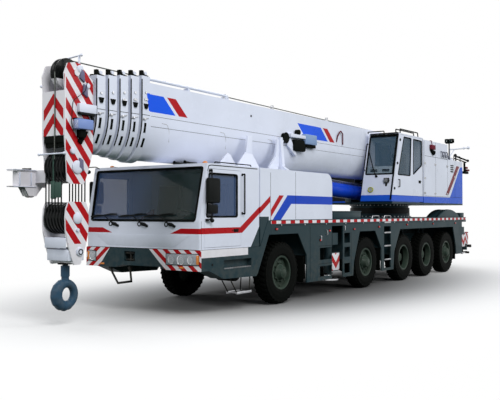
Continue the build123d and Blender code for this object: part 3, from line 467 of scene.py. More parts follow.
def head_bands(paint):
    out, up, ahead = paint.axes()
    plate = paint.both(paint.over(out, HEAD_PLATE_Y), paint.under(out, 0.275),
                       paint.over(ahead, FACE + 1.37), paint.under(ahead, FACE + 1.97))
    bars = paint.stripes(paint.along((-BAR_SLOPE, 0, 1)), BAR_PITCH, -BAR_SLOPE * FACE + 0.02, BAR_SHARE)
    arrow = paint.math("ADD", up, paint.math("MULTIPLY", out, 1.1))
    arrows = paint.both(paint.stripes(arrow, 0.31, 3.472, 0.56), paint.between(ahead, *HEAD_FRONT),
                        paint.between(arrow, 3.17, 3.645), paint.under(out, 0.23))
    sheaves = paint.both(paint.under(out, SHEAVE_Y),
                         paint.either(paint.under(up, 2.8), paint.over(up, 3.885)))
    return [(paint.both(plate, bars), RED), (paint.between(ahead, *HEAD_FRONT), SIGN_WHITE),
            (arrows, RED), (sheaves, BLACK)]


def block_bands(paint):
    out, up, ahead = paint.axes()
    cheek = paint.over(out, BLOCK_CHEEK_Y)
    bars = paint.stripes(paint.along((-BAR_SLOPE, 0, 1)), BAR_PITCH, -BAR_SLOPE * FACE + 0.06, BAR_SHARE)
    inner = paint.under(out, SHEAVE_Y)
    return [(paint.both(cheek, bars, paint.over(up, 1.3)), RED),
            (paint.both(inner, paint.over(up, 1.22)), BLACK)]


use(painted("head_paint", SIGN_WHITE, head_bands), "boom_head")
use(painted("block_paint", SIGN_WHITE, block_bands), "hook_block")
print("danger stripes on the head and the hook block")

# %% [markdown]
# The superstructure has a blue band at its foot that sweeps up at the tail behind a red stroke. The
# carrier is dark blue-grey, with a row of small red and white squares along the edge of its deck, and
# slanted red and white bars on the corners of its bumper.

# %% Bands of the superstructure and the carrier
def over_bands(paint):
    side = paint.over(paint.from_centre(), OVER_SIDE - 0.1)
    up = paint.along(UP)
    foot = paint.under(up, 2.246)
    sweep = paint.inside([(-12.093, 2.2), (-13.4, 2.2), (-13.4, 3.218), (-13.082, 3.218)])
    stroke = paint.inside([(-12.75, 3.243), (-12.998, 3.228), (-12.016, 2.319), (-11.769, 2.325)])
    # The front of the right-hand cover, seen below the boom, is painted black: this is painted shade.
    across = paint.under(paint.along(ACROSS), -0.4)
    shaded_front = paint.both(across, paint.over(paint.along(AHEAD), FACE - 9.305),
                        paint.between(up, 2.12, 3.06))
    return [(paint.either(foot, paint.both(side, sweep)), colour(26, 86, 204)),
            (paint.both(side, stroke), DARK_RED), (shaded_front, BLACK)]


def deck_bands(paint):
    edge = paint.both(paint.over(paint.from_centre(), SIDE - 0.004),
                      paint.between(paint.along(UP), 1.573, 1.633))
    squares = paint.stripes(paint.along(AHEAD), 0.347, FACE - 2.326)
    return [(edge, SIGN_WHITE), (paint.both(edge, squares), RED)]


def bumper_bands(paint):
    out, up, ahead = paint.axes()
    left = paint.over(paint.along((0, 1, 1.086)), 1.458)
    right = paint.under(paint.along((0, 1, -0.794)), -1.671)
    corner = paint.both(paint.either(left, right), paint.over(ahead, FACE - 0.012),
                        paint.over(up, 0.79))
    bars = paint.stripes(paint.math("ADD", paint.math("MULTIPLY", out, 0.8), up), 0.19, 0.05)
    skirt = paint.both(paint.over(out, SIDE - 0.004), paint.over(up, 1.024),
                       paint.over(ahead, FACE - 1.37))
    return [(paint.either(corner, skirt), SIGN_WHITE), (paint.both(corner, bars), RED)]


use(painted("over_white", WHITE, over_bands), "machine_covers", "crane_cab", "crane_cab_door")
use(painted("deck_paint", CHASSIS, deck_bands, rough=0.36, coat=0.0), "carrier_deck")
use(painted("bumper_paint", CHASSIS, bumper_bands, rough=0.34, coat=0.0), "front_bumper")
use(chassis_paint, "chassis_frame", "superstructure_frame")
print("bands on the superstructure, deck and bumper")


# %% [markdown]
# Bare metal is smeared and a little greasy, rubber is matt with pale dust in its grain, and glass is a
# dark gloss with a faint film. Lamp glass has the fine ribs of a mould besides. Each needs its own
# recipe, since gloss, not colour, tells them apart.

# %% Metal, rubber and glass
def bare_metal(name, base, rough, grease=0.3):
    """Plated or bare steel with grease on it."""
    steel = Recipe(name)
    smear = steel.cloud(30, 6)
    shade = steel.mix(smear, base, tuple(c * 0.78 for c in base))
    patch = steel.math("MULTIPLY", steel.cloud(4, 5, 0.5, 0.62), grease)
    steel.set("Base Color", steel.mix(patch, shade, (0.03, 0.025, 0.02)))
    steel.set("Metallic", 1.0)
    steel.set("Roughness", steel.ramp(smear, 0, 1, rough, rough + 0.14))
    steel.bump(steel.cloud(300, 2, 0.2, 0.8), 0.06, 0.0003)
    return steel.material


def matt(name, base, rough=0.6, scale=50, dust=0.3):
    """Rubber and plain plastic, paler where dust lies."""
    black = Recipe(name)
    haze = black.cloud(scale, 5)
    pale = tuple(c * 2 + 0.01 for c in base)
    black.set("Base Color", black.mix(black.math("MULTIPLY", haze, dust), base, pale))
    black.set("Roughness", black.ramp(haze, 0, 1, rough, rough + 0.15))
    black.set("Specular IOR Level", 0.03)
    black.bump(black.cloud(scale * 5, 3, 0.2, 0.8), 0.2, 0.0008)
    return black.material


def tinted_glass(name, right, left, clear):
    """Safety glass: a dark gloss that lets part of the inside show. Its colour runs from one tint to another
    across, which is a painted reflection.
    """
    pane = Recipe(name)
    pane.set("Base Color", pane.mix(pane.ramp(pane.along(ACROSS), -1.0, 0.5), right, left))
    pane.set("Roughness", pane.ramp(pane.cloud(5, 4), 0, 1, 0.02, 0.06))
    pane.set("Specular IOR Level", 0.4)
    pane.set("Alpha", 1 - clear)
    return pane.material


def lens_glass(name, tint, clear=0.0, glow=0.0):
    """Moulded lamp glass with fine ribs."""
    lens = Recipe(name)
    ribs = lens.stripes(lens.along((0.6, 1, 0.2)), 0.008)
    lens.set("Base Color", lens.mix(ribs, tint, tuple(c * 0.82 for c in tint)))
    lens.set("Roughness", lens.ramp(lens.cloud(20, 3), 0, 1, 0.05, 0.12))
    lens.set("Alpha", 1 - clear)
    if glow:
        lens.shader.inputs["Emission Color"].default_value = (*tint, 1)
        lens.shader.inputs["Emission Strength"].default_value = glow
    lens.bump(ribs, 0.2, 0.001)
    return lens.material


chrome = bare_metal("chrome", (0.62, 0.63, 0.65), 0.12)
galvanised = bare_metal("galvanised", (0.5, 0.51, 0.53), 0.38)
rubber = matt("rubber", (0.0015, 0.002, 0.0016), dust=0.12)
plastic = matt("black_plastic", (0.008, 0.009, 0.009), 0.42, 90, 0.2)
# The windscreen's colour runs from blue at the right to dark green at the left: a painted reflection.
screen_glass = tinted_glass("screen_glass", colour(58, 86, 134), colour(40, 56, 54), 0.58)
door_glass = tinted_glass("door_glass", colour(70, 94, 134), colour(70, 94, 134), 0.45)
cab_glass = tinted_glass("cab_glass", colour(66, 100, 122), colour(66, 100, 122), 0.68)
clear_lens = lens_glass("clear_lens", (0.85, 0.88, 0.92), 0.72)
amber_lens = lens_glass("amber_lens", (0.75, 0.22, 0.01))
red_lens = lens_glass("red_lens", (0.5, 0.01, 0.012))
hook_steel = painted("hook_steel", colour(50, 78, 100), rough=0.34)
cloth = matt("seat_cloth", colour(62, 64, 70), 0.8, 120, 0.5)
use(chrome, "lift_rod", *[n for n in nodes if n.startswith("outrigger_jack")])
use(screen_glass, "cab_windscreen")
use(cab_glass, "crane_cab_glass")
use(hook_steel, "hook")
use(cloth, "cab_interior")
use(rubber, *[n for n in nodes if n.startswith("tyre")])
use(black_paint, "hoist_winch", *[n for n in nodes if n.startswith("rim")])
use(chassis_paint, *[n for n in nodes if n.startswith("outrigger_beam")])
bare = [n for n in nodes if not nodes[n].data.materials]
print("nodes without a finish:", bare)

# %% [markdown]
# The fittings are modelled as by hand: a primitive is added at its size and place, shaped in edit mode,
# and its edges are rounded, because a sharp edge never catches the light. The next cells hold the few
# moves that every fitting uses. Each one ends with the object at the origin and its place in its mesh,
# so that patterns on Object coordinates lie the same way on every piece.

# %% Moves for a single piece
def edit(piece):
    """Edit mode with the whole of one piece selected."""
    only_selected(piece)
    bpy.ops.object.mode_set(mode="EDIT")
    bpy.ops.mesh.select_all(action="SELECT")


def settle(piece, name):
    """Puts a piece's place and size into its mesh and names it."""
    only_selected(piece)
    bpy.ops.object.transform_apply(location=True, rotation=True, scale=True)
    piece.name = piece.data.name = name
    return piece


def rounded(piece, width, steps=2, angle=35):
    """Rounds the sharp edges and shades the curved faces smooth."""
    if width:
        bevel = piece.modifiers.new("Bevel", "BEVEL")
        bevel.width, bevel.segments, bevel.angle_limit = width, steps, math.radians(angle)
        only_selected(piece)
        bpy.ops.object.modifier_apply(modifier=bevel.name)
    only_selected(piece)
    bpy.ops.object.shade_smooth_by_angle(angle=math.radians(40))
    return piece


def block(name, low, high, edge=0.006, cuts=()):
    """A box between two corners. Each cut is a point and a direction: what lies past it goes."""
    only_selected()
    bpy.ops.mesh.primitive_cube_add(size=1, location=(low + high) / 2)
    piece = bpy.context.object
    piece.scale = [abs(side) for side in high - low]
    settle(piece, name)
    for point, direction in cuts:
        edit(piece)
        bpy.ops.mesh.bisect(plane_co=point, plane_no=direction, use_fill=True, clear_outer=True)
        bpy.ops.object.mode_set(mode="OBJECT")
    return rounded(piece, edge)


def bar(name, start, end, radius, sides=16, edge=None):
    """A round bar from one point to another, with its rims rounded."""
    only_selected()
    bpy.ops.mesh.primitive_cylinder_add(vertices=sides, radius=radius, depth=(end - start).length,
                                        location=(start + end) / 2,
                                        rotation=(end - start).to_track_quat("Z", "Y").to_euler())
    return rounded(settle(bpy.context.object, name), radius * 0.15 if edge is None else edge, 1, 60)


def ball(name, middle, radius, squash=1.0):
    """A smooth ball, pressed flat along Z by squash."""
    only_selected()
    bpy.ops.mesh.primitive_uv_sphere_add(segments=20, ring_count=12, radius=radius, location=middle)
    bpy.context.object.scale.z = squash
    piece = settle(bpy.context.object, name)
    bpy.ops.object.shade_smooth()
    return piece


def plate(name, axis, outline, start, end, edge=0.004):
    """An outline across an axis, given its thickness from start to end along that axis."""
    only_selected()
    bpy.ops.mesh.primitive_circle_add(vertices=len(outline), fill_type="NGON")
    piece = bpy.context.object
    index = "xyz".index(axis)
    for vertex, pair in zip(piece.data.vertices, outline):
        spot = list(pair)
        spot.insert(index, start)
        vertex.co = spot
    edit(piece)
    move = [0, 0, 0]
    move[index] = end - start
    bpy.ops.mesh.extrude_region_move(TRANSFORM_OT_translate={"value": move})
    bpy.ops.mesh.select_all(action="SELECT")
    bpy.ops.mesh.normals_make_consistent(inside=False)
    return rounded(settle(piece, name), edge)


def side_plate(name, outline, start, end, edge=0.004):
    """A plate drawn on the vehicle's side, as x and z from the datum."""
    return plate(name, "y", [(FACE + x, z) for x, z in outline], start, end, edge)


def turned(name, outline, middle, direction=ACROSS, steps=48):
    """A ring turned about an axis through a point. The outline is closed: pairs of radius and reach."""
    only_selected()
    bpy.ops.mesh.primitive_circle_add(vertices=len(outline))
    piece = bpy.context.object
    for vertex, (radius, reach) in zip(piece.data.vertices, outline):
        vertex.co = (radius, 0, reach)
    edit(piece)
    bpy.ops.mesh.spin(steps=steps, angle=math.tau, center=(0, 0, 0), axis=(0, 0, 1))
    bpy.ops.mesh.select_all(action="SELECT")
    bpy.ops.mesh.remove_doubles(threshold=0.00002)
    bpy.ops.mesh.normals_make_consistent(inside=False)
    bpy.ops.object.mode_set(mode="OBJECT")
    piece.rotation_euler = Vector(direction).to_track_quat("Z", "Y").to_euler()
    piece.location = middle
    return rounded(settle(piece, name), 0)


def pipe(name, points, radius, bend=0.06):
    """A bent tube through points. Its line keeps straight between bends of about that radius."""
    line = bpy.data.curves.new(name, "CURVE")
    line.dimensions, line.bevel_depth, line.bevel_resolution, line.use_fill_caps = "3D", radius, 2, True
    route = [points[0]]
    for before, corner, after in zip(points, points[1:], points[2:]):
        reach = min(bend, (corner - before).length * 0.45, (after - corner).length * 0.45)
        route += [corner + (before - corner).normalized() * reach, corner,
                  corner + (after - corner).normalized() * reach]
    route.append(points[-1])
    spline = line.splines.new("NURBS")
    spline.points.add(len(route) - 1)
    for spot, place in zip(spline.points, route):
        spot.co = (*place, 1)
    spline.order_u, spline.use_endpoint_u, spline.resolution_u = 3, True, 4
    piece = bpy.data.objects.new(name, line)
    scene.collection.objects.link(piece)
    only_selected(piece)
    bpy.ops.object.convert(target="MESH")
    return settle(bpy.context.object, name)


# %% Moves for several pieces
def copy_of(piece, name, change):
    """A copy with its own mesh, moved, turned or mirrored."""
    twin = piece.copy()
    twin.data = piece.data.copy()
    scene.collection.objects.link(twin)
    twin.data.transform(change)
    if change.determinant() < 0:
        twin.data.flip_normals()
    twin.name = twin.data.name = name
    return twin


def join(name, *pieces):
    """Several pieces as one."""
    only_selected(pieces[0])
    for piece in pieces:
        piece.select_set(True)
    bpy.ops.object.join()
    pieces[0].name = pieces[0].data.name = name
    return pieces[0]


def moved(x=0.0, y=0.0, z=0.0):
    return Matrix.Translation((x, y, z))


def turned_about(middle, angle, axis):
    return Matrix.Translation(middle) @ Matrix.Rotation(angle, 4, axis) @ Matrix.Translation(-middle)


MIRROR = Matrix.Scale(-1, 4, (0, 1, 0))


def mirrored(piece):
    """The piece itself, put on the other side."""
    piece.data.transform(MIRROR)
    piece.data.flip_normals()
    return piece


def round_about(name, piece, count, middle, axis):
    """Copies of a piece in a circle, joined."""
    ring = [copy_of(piece, f"{name}_{n}", turned_about(middle, math.tau * n / count, axis))
            for n in range(1, count)]
    return join(name, piece, *ring)


def fit(piece, body, material):
    """The piece is done: it is coated, and moves with a body."""
    piece.data.materials.clear()
    piece.data.materials.append(material)
    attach(piece, body)
    return piece


def both_sides(piece, body, material):
    """Fits a piece on the left and its mirror image on the right. {} in the body's name is the side."""
    twin = copy_of(piece, piece.name.replace("left", "right"), MIRROR)
    fit(piece, body.replace("{}", "left"), material)
    fit(twin, body.replace("{}", "right"), material)


print("modelling moves ready")

# %% [markdown]
# Five tyres a side make or break a truck crane. A real one has a carcass with a shoulder, and a tread of
# heavy lugs. The carcass is turned like a bowl on a wheel. One lug is modelled, leaned, and copied round,
# which keeps each lug a few dozen faces. Displacing a smooth ring by a texture would blur their edges.

# %% One tyre
RIM_EDGE = 0.331
LUGS = 34
HALF_A_LUG = Matrix.Rotation(math.pi / LUGS, 4, "Y")
LUG_LENGTH = 0.122


def tread_lug(name):
    """One lug of the tread, at the top of a tyre that turns about Y at the origin."""
    lug = block(name, Vector((-0.033, 0.004, TYRE_R - 0.032)), Vector((0.033, LUG_LENGTH, TYRE_R - 0.002)),
                0)
    edit(lug)
    bpy.ops.mesh.bevel(offset=0.006, segments=1, affect="EDGES")
    bpy.ops.object.mode_set(mode="OBJECT")
    for vertex in lug.data.vertices:
        slide = vertex.co.y / LUG_LENGTH
        vertex.co.x += 0.055 * slide * slide
        vertex.co.z -= 0.01 * max(0.0, slide - 0.6) / 0.4
    return lug


def one_tyre():
    carcass = turned("carcass", [(RIM_EDGE, 0.126), (0.345, 0.143), (0.372, 0.15), (0.38, 0.1525),
                                 (0.392, 0.1515), (0.455, 0.1572), (0.52, 0.156), (0.528, 0.153),
                                 (0.534, 0.154), (0.57, 0.148), (0.58, 0.135), (TYRE_R - 0.03, 0.12),
                                 (TYRE_R - 0.027, 0.0), (TYRE_R - 0.03, -0.12), (0.58, -0.135),
                                 (0.57, -0.148), (0.52, -0.156), (0.455, -0.1572), (0.38, -0.1525),
                                 (0.345, -0.143), (RIM_EDGE, -0.126), (0.318, 0.0)], Vector(), steps=60)
    near = round_about("lugs_near", tread_lug("lug_near"), LUGS, Vector(), "Y")
    far = copy_of(near, "lugs_far", HALF_A_LUG @ MIRROR)
    shoulder = block("shoulder_lug", Vector((-0.022, 0.1405, 0.556)), Vector((0.022, 0.1545, 0.586)), 0.004)
    shoulder = round_about("shoulder_lugs", shoulder, LUGS, Vector(), "Y")
    shoulder.data.transform(Matrix.Rotation(0.09, 4, "Y"))
    shoulder_far = copy_of(shoulder, "shoulder_far", HALF_A_LUG @ MIRROR)
    return join("one_tyre", carcass, near, far, shoulder, shoulder_far)


tyre = one_tyre()
print("tyre faces", len(tyre.data.polygons))

# %% [markdown]
# The rims are dark painted steel. The steered axles and the last have a hub that stands proud of the
# wheel, because a planetary gear sits in it; the two between are dished. The disc has hand holes between
# its nuts. Cutting the holes with booleans is slow to render clean, so shallow cups set in the disc
# stand for them, with a raised lip as pressed steel has.

# %% Rims
NUT_CIRCLE, HOLE_CIRCLE, SCREW_CIRCLE = 0.185, 0.245, 0.088
NUTS, HOLES, SCREWS = 10, 8, 12


def rim_of(name, proud):
    """A rim's face about Y at the origin, its outside towards +Y."""
    face = 0.06 if proud else -0.106
    hub = 0.185 if proud else 0.03
    parts = [turned("lip", [(0.3, 0.118), (0.331, 0.128), (0.334, 0.138), (0.328, 0.1425), (0.3, 0.138),
                            (0.288, 0.11), (0.288, 0.0), (0.294, 0.0)], Vector(), steps=48)]
    dish = [(0.02, face + 0.002), (0.15, face + 0.004), (0.165, face + 0.01), (0.215, face + 0.012),
            (0.24, face + 0.006), (0.288, face - 0.004), (0.288, face - 0.012), (0.02, face - 0.012)]
    parts.append(turned("dish", dish, Vector(), steps=48))
    hole = turned("hole", [(0.0, face + 0.01), (0.03, face + 0.01), (0.033, face + 0.0165),
                           (0.038, face + 0.0165), (0.042, face + 0.006), (0.0, face + 0.004)],
                  Vector((0, 0, HOLE_CIRCLE)), steps=14)
    parts.append(round_about("holes", hole, HOLES, Vector(), "Y"))
    nut = bar("nut", Vector((0, face + 0.008, NUT_CIRCLE)), Vector((0, face + 0.042, NUT_CIRCLE)), 0.016, 6,
              0.002)
    stud = bar("stud", Vector((0, face + 0.04, NUT_CIRCLE)), Vector((0, face + 0.056, NUT_CIRCLE)), 0.009,
               8, 0.001)
    parts.append(round_about("nuts", join("nut_and_stud", nut, stud), NUTS, Vector(), "Y"))
    cap = [(0.0, hub + 0.014), (0.06, hub + 0.014), (0.068, hub + 0.008), (0.105, hub + 0.006),
           (0.114, hub - 0.004), (0.128, hub - 0.042), (0.152, face + 0.048), (0.168, face + 0.044),
           (0.17, face + 0.006), (0.0, face + 0.004)]
    parts.append(turned("cap", cap, Vector(), steps=36))
    screw = bar("screw", Vector((0, hub, SCREW_CIRCLE)), Vector((0, hub + 0.014, SCREW_CIRCLE)), 0.008, 6,
                0.001)
    parts.append(round_about("screws", screw, SCREWS, Vector(), "Y"))
    parts.append(bar("plug", Vector((0.03, hub + 0.01, 0)), Vector((0.03, hub + 0.022, 0)), 0.012, 6,
                     0.001))
    parts.append(bar("valve", Vector((0.1, face + 0.01, 0.255)), Vector((0.112, 0.12, 0.27)), 0.006, 8,
                     0.001))
    return join(name, *parts)


rim_paint = painted("rim_paint", colour(44, 58, 50), dust=0.1, rough=0.4, coat=0.05)
proud_rim = rim_of("proud_rim", True)
dished_rim = rim_of("dished_rim", False)
print("rim faces", len(proud_rim.data.polygons), len(dished_rim.data.polygons))

# %% [markdown]
# Each finished wheel is a copy put at its own axle. A wheel on the right is the same wheel turned round,
# not mirrored, so its hub still faces out. The tyres and rims stand for the plain ones in the frame.

# %% Ten wheels
def wheel_place(number, side):
    low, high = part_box(f"tyre_{number}_{side}")
    middle = (low + high) / 2
    spin = Matrix.Rotation(0.21 * number, 4, "Y")
    facing = Matrix.Identity(4) if side == "left" else Matrix.Rotation(math.pi, 4, "Z")
    return Matrix.Translation(middle) @ facing @ spin


for number in range(1, 6):
    for side in ("left", "right"):
        place = wheel_place(number, side)
        body = f"wheel_{number}_{side}"
        rubber_ring = fit(copy_of(tyre, f"tyre_{number}_{side}_rubber", place), body, rubber)
        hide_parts(f"tyre_{number}_{side}")
        model = dished_rim if number in (3, 4) else proud_rim
        steel = fit(copy_of(model, f"rim_{number}_{side}_steel", place), body, rim_paint)
        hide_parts(f"rim_{number}_{side}")
for model in (tyre, proud_rim, dished_rim):
    bpy.data.objects.remove(model)
print("wheels", 10)

# %% [markdown]
# The cab's screen leans back, so its fittings are placed on a sloping plane. `on_screen` gives a point on
# that plane, or a little proud of it. The glass is held by a black rubber that hides the cut edge of the
# steel. A frame cut from a plate would have flat faces, but rubber is round, so it is a tube on a path.

# %% Screen rubber and dash
LEAN, SCREEN_SLOPE, SCREEN_LOW = Vector((0.9811, 0, 0.1939)), 0.1976, 1.64


def on_screen(y, z, out=0.0):
    """A point on the sloping screen, so far from the centre plane and so high."""
    return at(-SCREEN_SLOPE * (z - SCREEN_LOW), y, z) + LEAN * out


def ring_path(corners):
    """A closed path for a tube: it starts and ends halfway along the first side."""
    start = (corners[0] + corners[1]) / 2
    return [start, *corners[1:], corners[0], start]


corners = [on_screen(y, z, -0.006) for y, z in ((-1.24, 1.65), (1.24, 1.65), (1.27, 2.56), (-1.27, 2.56))]
fit(pipe("screen_rubber", ring_path(corners), 0.022, 0.07), "carrier", rubber)
dash_plastic = matt("dash_plastic", colour(136, 164, 148), 0.55, 70, 0.3)
vents = [block(f"vent_{n}", at(-0.2, y - 0.09, 1.655), at(-0.13, y + 0.09, 1.668), 0.003)
         for n, y in enumerate((-0.95, -0.6, -0.2, 0.2, 0.55, 0.9))]
fit(join("dash_vents", *vents), "carrier", plastic)
dash = block("dash_top", at(-0.33, -1.2, 1.6), at(-0.085, 1.2, 1.656), 0.02)
fit(dash, "carrier", dash_plastic)
print("screen rubber and dash")

# %% [markdown]
# Three wipers rest along the foot of the screen. A wiper is a cap on its spindle, a tapered arm, and a
# blade in a thin carrier. One is modelled at the centre plane and copied sideways to the other places.

# %% Three wipers
def wiper(name):
    """A wiper whose spindle is on the centre plane."""
    spindle = at(0, 0, 1.585)
    cap = turned("cap", [(0, -0.004), (0.03, -0.004), (0.03, 0.012), (0.022, 0.022), (0, 0.024)], spindle,
                 AHEAD, 20)
    washer = turned("washer", [(0.026, 0), (0.044, 0), (0.044, 0.006), (0.026, 0.006)],
                    spindle + Vector((0, -0.085, 0)), AHEAD, 20)
    cover = plate("cover", "x", [(-0.035, 1.618), (0.045, 1.612), (0.135, 1.56), (0.115, 1.528),
                                 (0.04, 1.55), (-0.02, 1.56)], FACE - 0.004, FACE + 0.026, 0.006)
    arm = pipe("arm", [spindle + Vector((0.02, 0, 0)), at(0.035, -0.05, 1.63),
                       on_screen(-0.24, 1.735, 0.05)], 0.009, 0.05)
    blade = block("blade", Vector((-0.008, -0.34, -0.014)), Vector((0.008, 0.34, 0.014)), 0.004)
    claws = [block(f"claw_{n}", Vector((-0.006, y - 0.09, 0.01)), Vector((0.016, y + 0.09, 0.022)), 0.003)
             for n, y in enumerate((-0.17, 0.17))]
    blade = join("blade", blade, *claws)
    blade.data.transform(Matrix.Translation(on_screen(-0.26, 1.735, 0.022)) @ Matrix.Rotation(0.07, 4, "X"))
    return join(name, cap, washer, cover, arm, blade)


first = wiper("wiper_1")
for number, y in enumerate((-0.596, 0.752), 2):
    fit(copy_of(first, f"wiper_{number}", moved(y=y - 0.059)), "carrier", plastic)
first.data.transform(moved(y=0.059))
fit(first, "carrier", plastic)
print("wipers", 3)

# %% [markdown]
# Each cab door needs its window, a rubber round it, and a sunk handle. The doors open, so these pieces
# ride on the doors, while the long grab bar behind each door stays with the cab. Every piece is made
# for the left and mirrored for the right. The mirrors are folded back along the doors and swing with them.

# %% Cab door windows and handles
window = [(-1.062, 1.716), (-0.172, 1.716), (-0.242, 2.46), (-1.062, 2.46)]
pane = side_plate("door_pane_left", window, 1.322, 1.328, 0)
both_sides(pane, "cab_door_{}", door_glass)
corners = [at(x, 1.35, z) for x, z in window]
both_sides(pipe("door_rubber_left", ring_path(corners), 0.017, 0.07), "cab_door_{}", rubber)
cup = block("cup", at(-1.1, 1.349, 1.44), at(-0.955, 1.3575, 1.5), 0.004)
pull = block("pull", at(-1.09, 1.352, 1.476), at(-0.965, 1.374, 1.494), 0.006)
lock = bar("lock", at(-0.925, 1.35, 1.47), at(-0.925, 1.36, 1.47), 0.014, 16, 0.002)
both_sides(join("door_handle_left", cup, pull, lock), "cab_door_{}", plastic)
gutter = pipe("gutter_left", [at(x, 1.352, z) for x, z in ((-0.205, 2.5), (-0.235, 2.585), (-0.3, 2.6),
                                                           (-1.7, 2.6))], 0.009, 0.05)
both_sides(gutter, "carrier", rubber)
seam = block("corner_seam_left", at(-0.036, 1.3535, 1.17), at(-0.03, 1.3565, 1.64), 0)
both_sides(seam, "carrier", rubber)
print("cab door fittings")

# %% Grab bars and mirrors
GRAB_X, MIRROR_X = -1.216, -0.262
grab = pipe("grab", [at(GRAB_X, y, z) for y, z in ((1.35, 2.47), (1.412, 2.484), (1.412, 1.762),
                                                   (1.35, 1.776))], 0.014, 0.05)
feet = [bar("foot", at(GRAB_X, 1.352, z), at(GRAB_X, 1.364, z), 0.026, 16, 0.003) for z in (2.471, 1.775)]
both_sides(join("grab_bar_left", grab, *feet), "carrier", plastic)
shell = block("shell", at(-0.452, 1.378, 1.95), at(-0.122, 1.448, 2.378), 0.0)
edit(shell)
bpy.ops.mesh.bevel(offset=0.028, segments=3, affect="EDGES")
settle(shell, "shell")
wide_glass = block("mirror_glass_left", at(-0.44, 1.445, 1.995), at(-0.135, 1.4495, 2.335), 0.004)
low_shell = block("low_shell", at(-0.4, 1.38, 1.77), at(-0.16, 1.44, 1.925), 0.022)
bow = pipe("bow", [at(MIRROR_X, 1.345, 2.508), at(MIRROR_X, 1.405, 2.52), at(MIRROR_X, 1.41, 2.2),
                   at(MIRROR_X, 1.41, 1.7), at(-0.19, 1.4, 1.664), at(-0.158, 1.345, 1.664)], 0.013, 0.06)
brackets = [block(f"bracket_{z}", at(x - 0.022, 1.349, z - 0.022), at(x + 0.022, 1.392, z + 0.022), 0.006)
            for x, z in ((MIRROR_X, 2.505), (-0.165, 1.662))]
ball_end = ball("ball_end", at(MIRROR_X, 1.41, 1.655), 0.036)
both_sides(join("mirror_left", shell, low_shell, bow, ball_end, *brackets), "cab_door_{}", plastic)
both_sides(wide_glass, "cab_door_{}", plastic)
front_arm = pipe("front_arm", [at(-0.21, -1.22, 2.6), at(-0.16, -1.3, 2.652), at(-0.05, -1.385, 2.64),
                               at(-0.05, -1.42, 2.6)], 0.009, 0.05)
front_mirror = ball("front_mirror", at(-0.05, -1.39, 2.555), 0.05, 0.8)
fit(join("kerb_mirror", front_arm, front_mirror), "carrier", plastic)
print("grab bars and mirrors")

# %% [markdown]
# On the roof lie a hatch, two air horns and low rails, all flat enough to pass below the boom. The
# front has a service flap above the bumper, whose edge shows as a fine shadow line.

# %% Roof and front flap
hatch = plate("hatch", "z", [(FACE + x, y) for x, y in ((-0.75, -0.32), (-0.75, 0.32), (-1.35, 0.32),
                                                        (-1.35, -0.32))], CAB_TOP - 0.001, CAB_TOP + 0.022,
              0.008)
edit(hatch)
bpy.ops.mesh.select_all(action="DESELECT")
bpy.ops.object.mode_set(mode="OBJECT")
for face in hatch.data.polygons:
    face.select = face.normal.z > 0.9 and face.area > 0.1
bpy.ops.object.mode_set(mode="EDIT")
bpy.ops.mesh.inset(thickness=0.05, depth=0.012)
settle(hatch, "roof_hatch")
fit(hatch, "carrier", plastic)
for n, y in enumerate((0.56, 0.8)):
    horn = turned("horn", [(0.0, 0.0), (0.014, 0.0), (0.014, 0.2), (0.022, 0.3), (0.036, 0.335),
                           (0.03, 0.335), (0.012, 0.29), (0.0, 0.27)], at(-0.6, y, CAB_TOP + 0.034), AHEAD,
                  24)
    stands = [block(f"stand_{x}", at(x - 0.012, y - 0.016, CAB_TOP - 0.002),
                    at(x + 0.012, y + 0.016, CAB_TOP + 0.022), 0.003) for x in (-0.55, -0.4)]
    fit(join(f"air_horn_{n}", horn, *stands), "carrier", plastic)
for side, label in SIDES:
    lamp_spot = at(-0.42, side * 1.13, CAB_TOP)
    foot = turned("lamp_foot", [(0, -0.001), (0.062, -0.001), (0.062, 0.011), (0.05, 0.017), (0, 0.017)],
                  lamp_spot, UP, 24)
    route = ((-0.5, 0), (-0.52, 0.036), (-1.6, 0.036), (-1.62, 0))
    rail = pipe("rail", [at(x, side * 1.27, CAB_TOP + rise) for x, rise in route], 0.01, 0.03)
    fit(join(f"roof_rail_{label}", rail, foot), "carrier", plastic)
    dome = turned(f"roof_lamp_{label}", [(0, 0.012), (0.046, 0.012), (0.044, 0.032), (0.03, 0.046),
                                         (0, 0.052)], lamp_spot, UP, 24)
    fit(dome, "carrier", amber_lens)
flap = plate("front_flap", "x", [(-1.13, 1.4), (1.13, 1.4), (0.8, 1.195), (-0.8, 1.195)], FACE - 0.002,
             FACE + 0.0035, 0.0015)
fit(flap, "carrier", white_paint)
strip = block("cab_foot_seal", at(-0.06, -1.26, 1.1535), at(0.003, 1.26, 1.162), 0.002)
fit(strip, "carrier", rubber)
print("roof and flap")

# %% [markdown]
# A lamp looks deep because light bounces in a bright bowl behind clear glass. Each headlight here is a
# black bezel, three turned bowls with a bulb in them, and a thin domed lens. The amber indicator and
# the red tail lamps use the same ribbed glass in another tint.

# %% A round lamp
def round_lamp(name, middle, radius, direction):
    """A bowl with its bulb, and the lens over it."""
    bowl = [(0.0, -0.035), (radius * 0.35, -0.033), (radius * 0.8, -0.012), (radius * 0.94, 0.002),
            (radius * 1.06, 0.006), (radius * 1.06, -0.004), (radius * 0.8, -0.022), (0, -0.042)]
    bulb = ball("bulb", Vector((0, 0, -0.02)), radius * 0.2)
    lens = turned(f"{name}_lens", [(0, 0.01), (radius * 0.5, 0.009), (radius * 0.92, 0.002),
                                   (radius * 0.92, 0.0), (0, 0.007)], middle, direction, 28)
    turn = Matrix.Translation(middle) @ Vector(direction).to_track_quat("Z", "Y").to_matrix().to_4x4()
    bulb.data.transform(turn)
    return join(name, turned(name, bowl, middle, direction, 28), bulb), lens


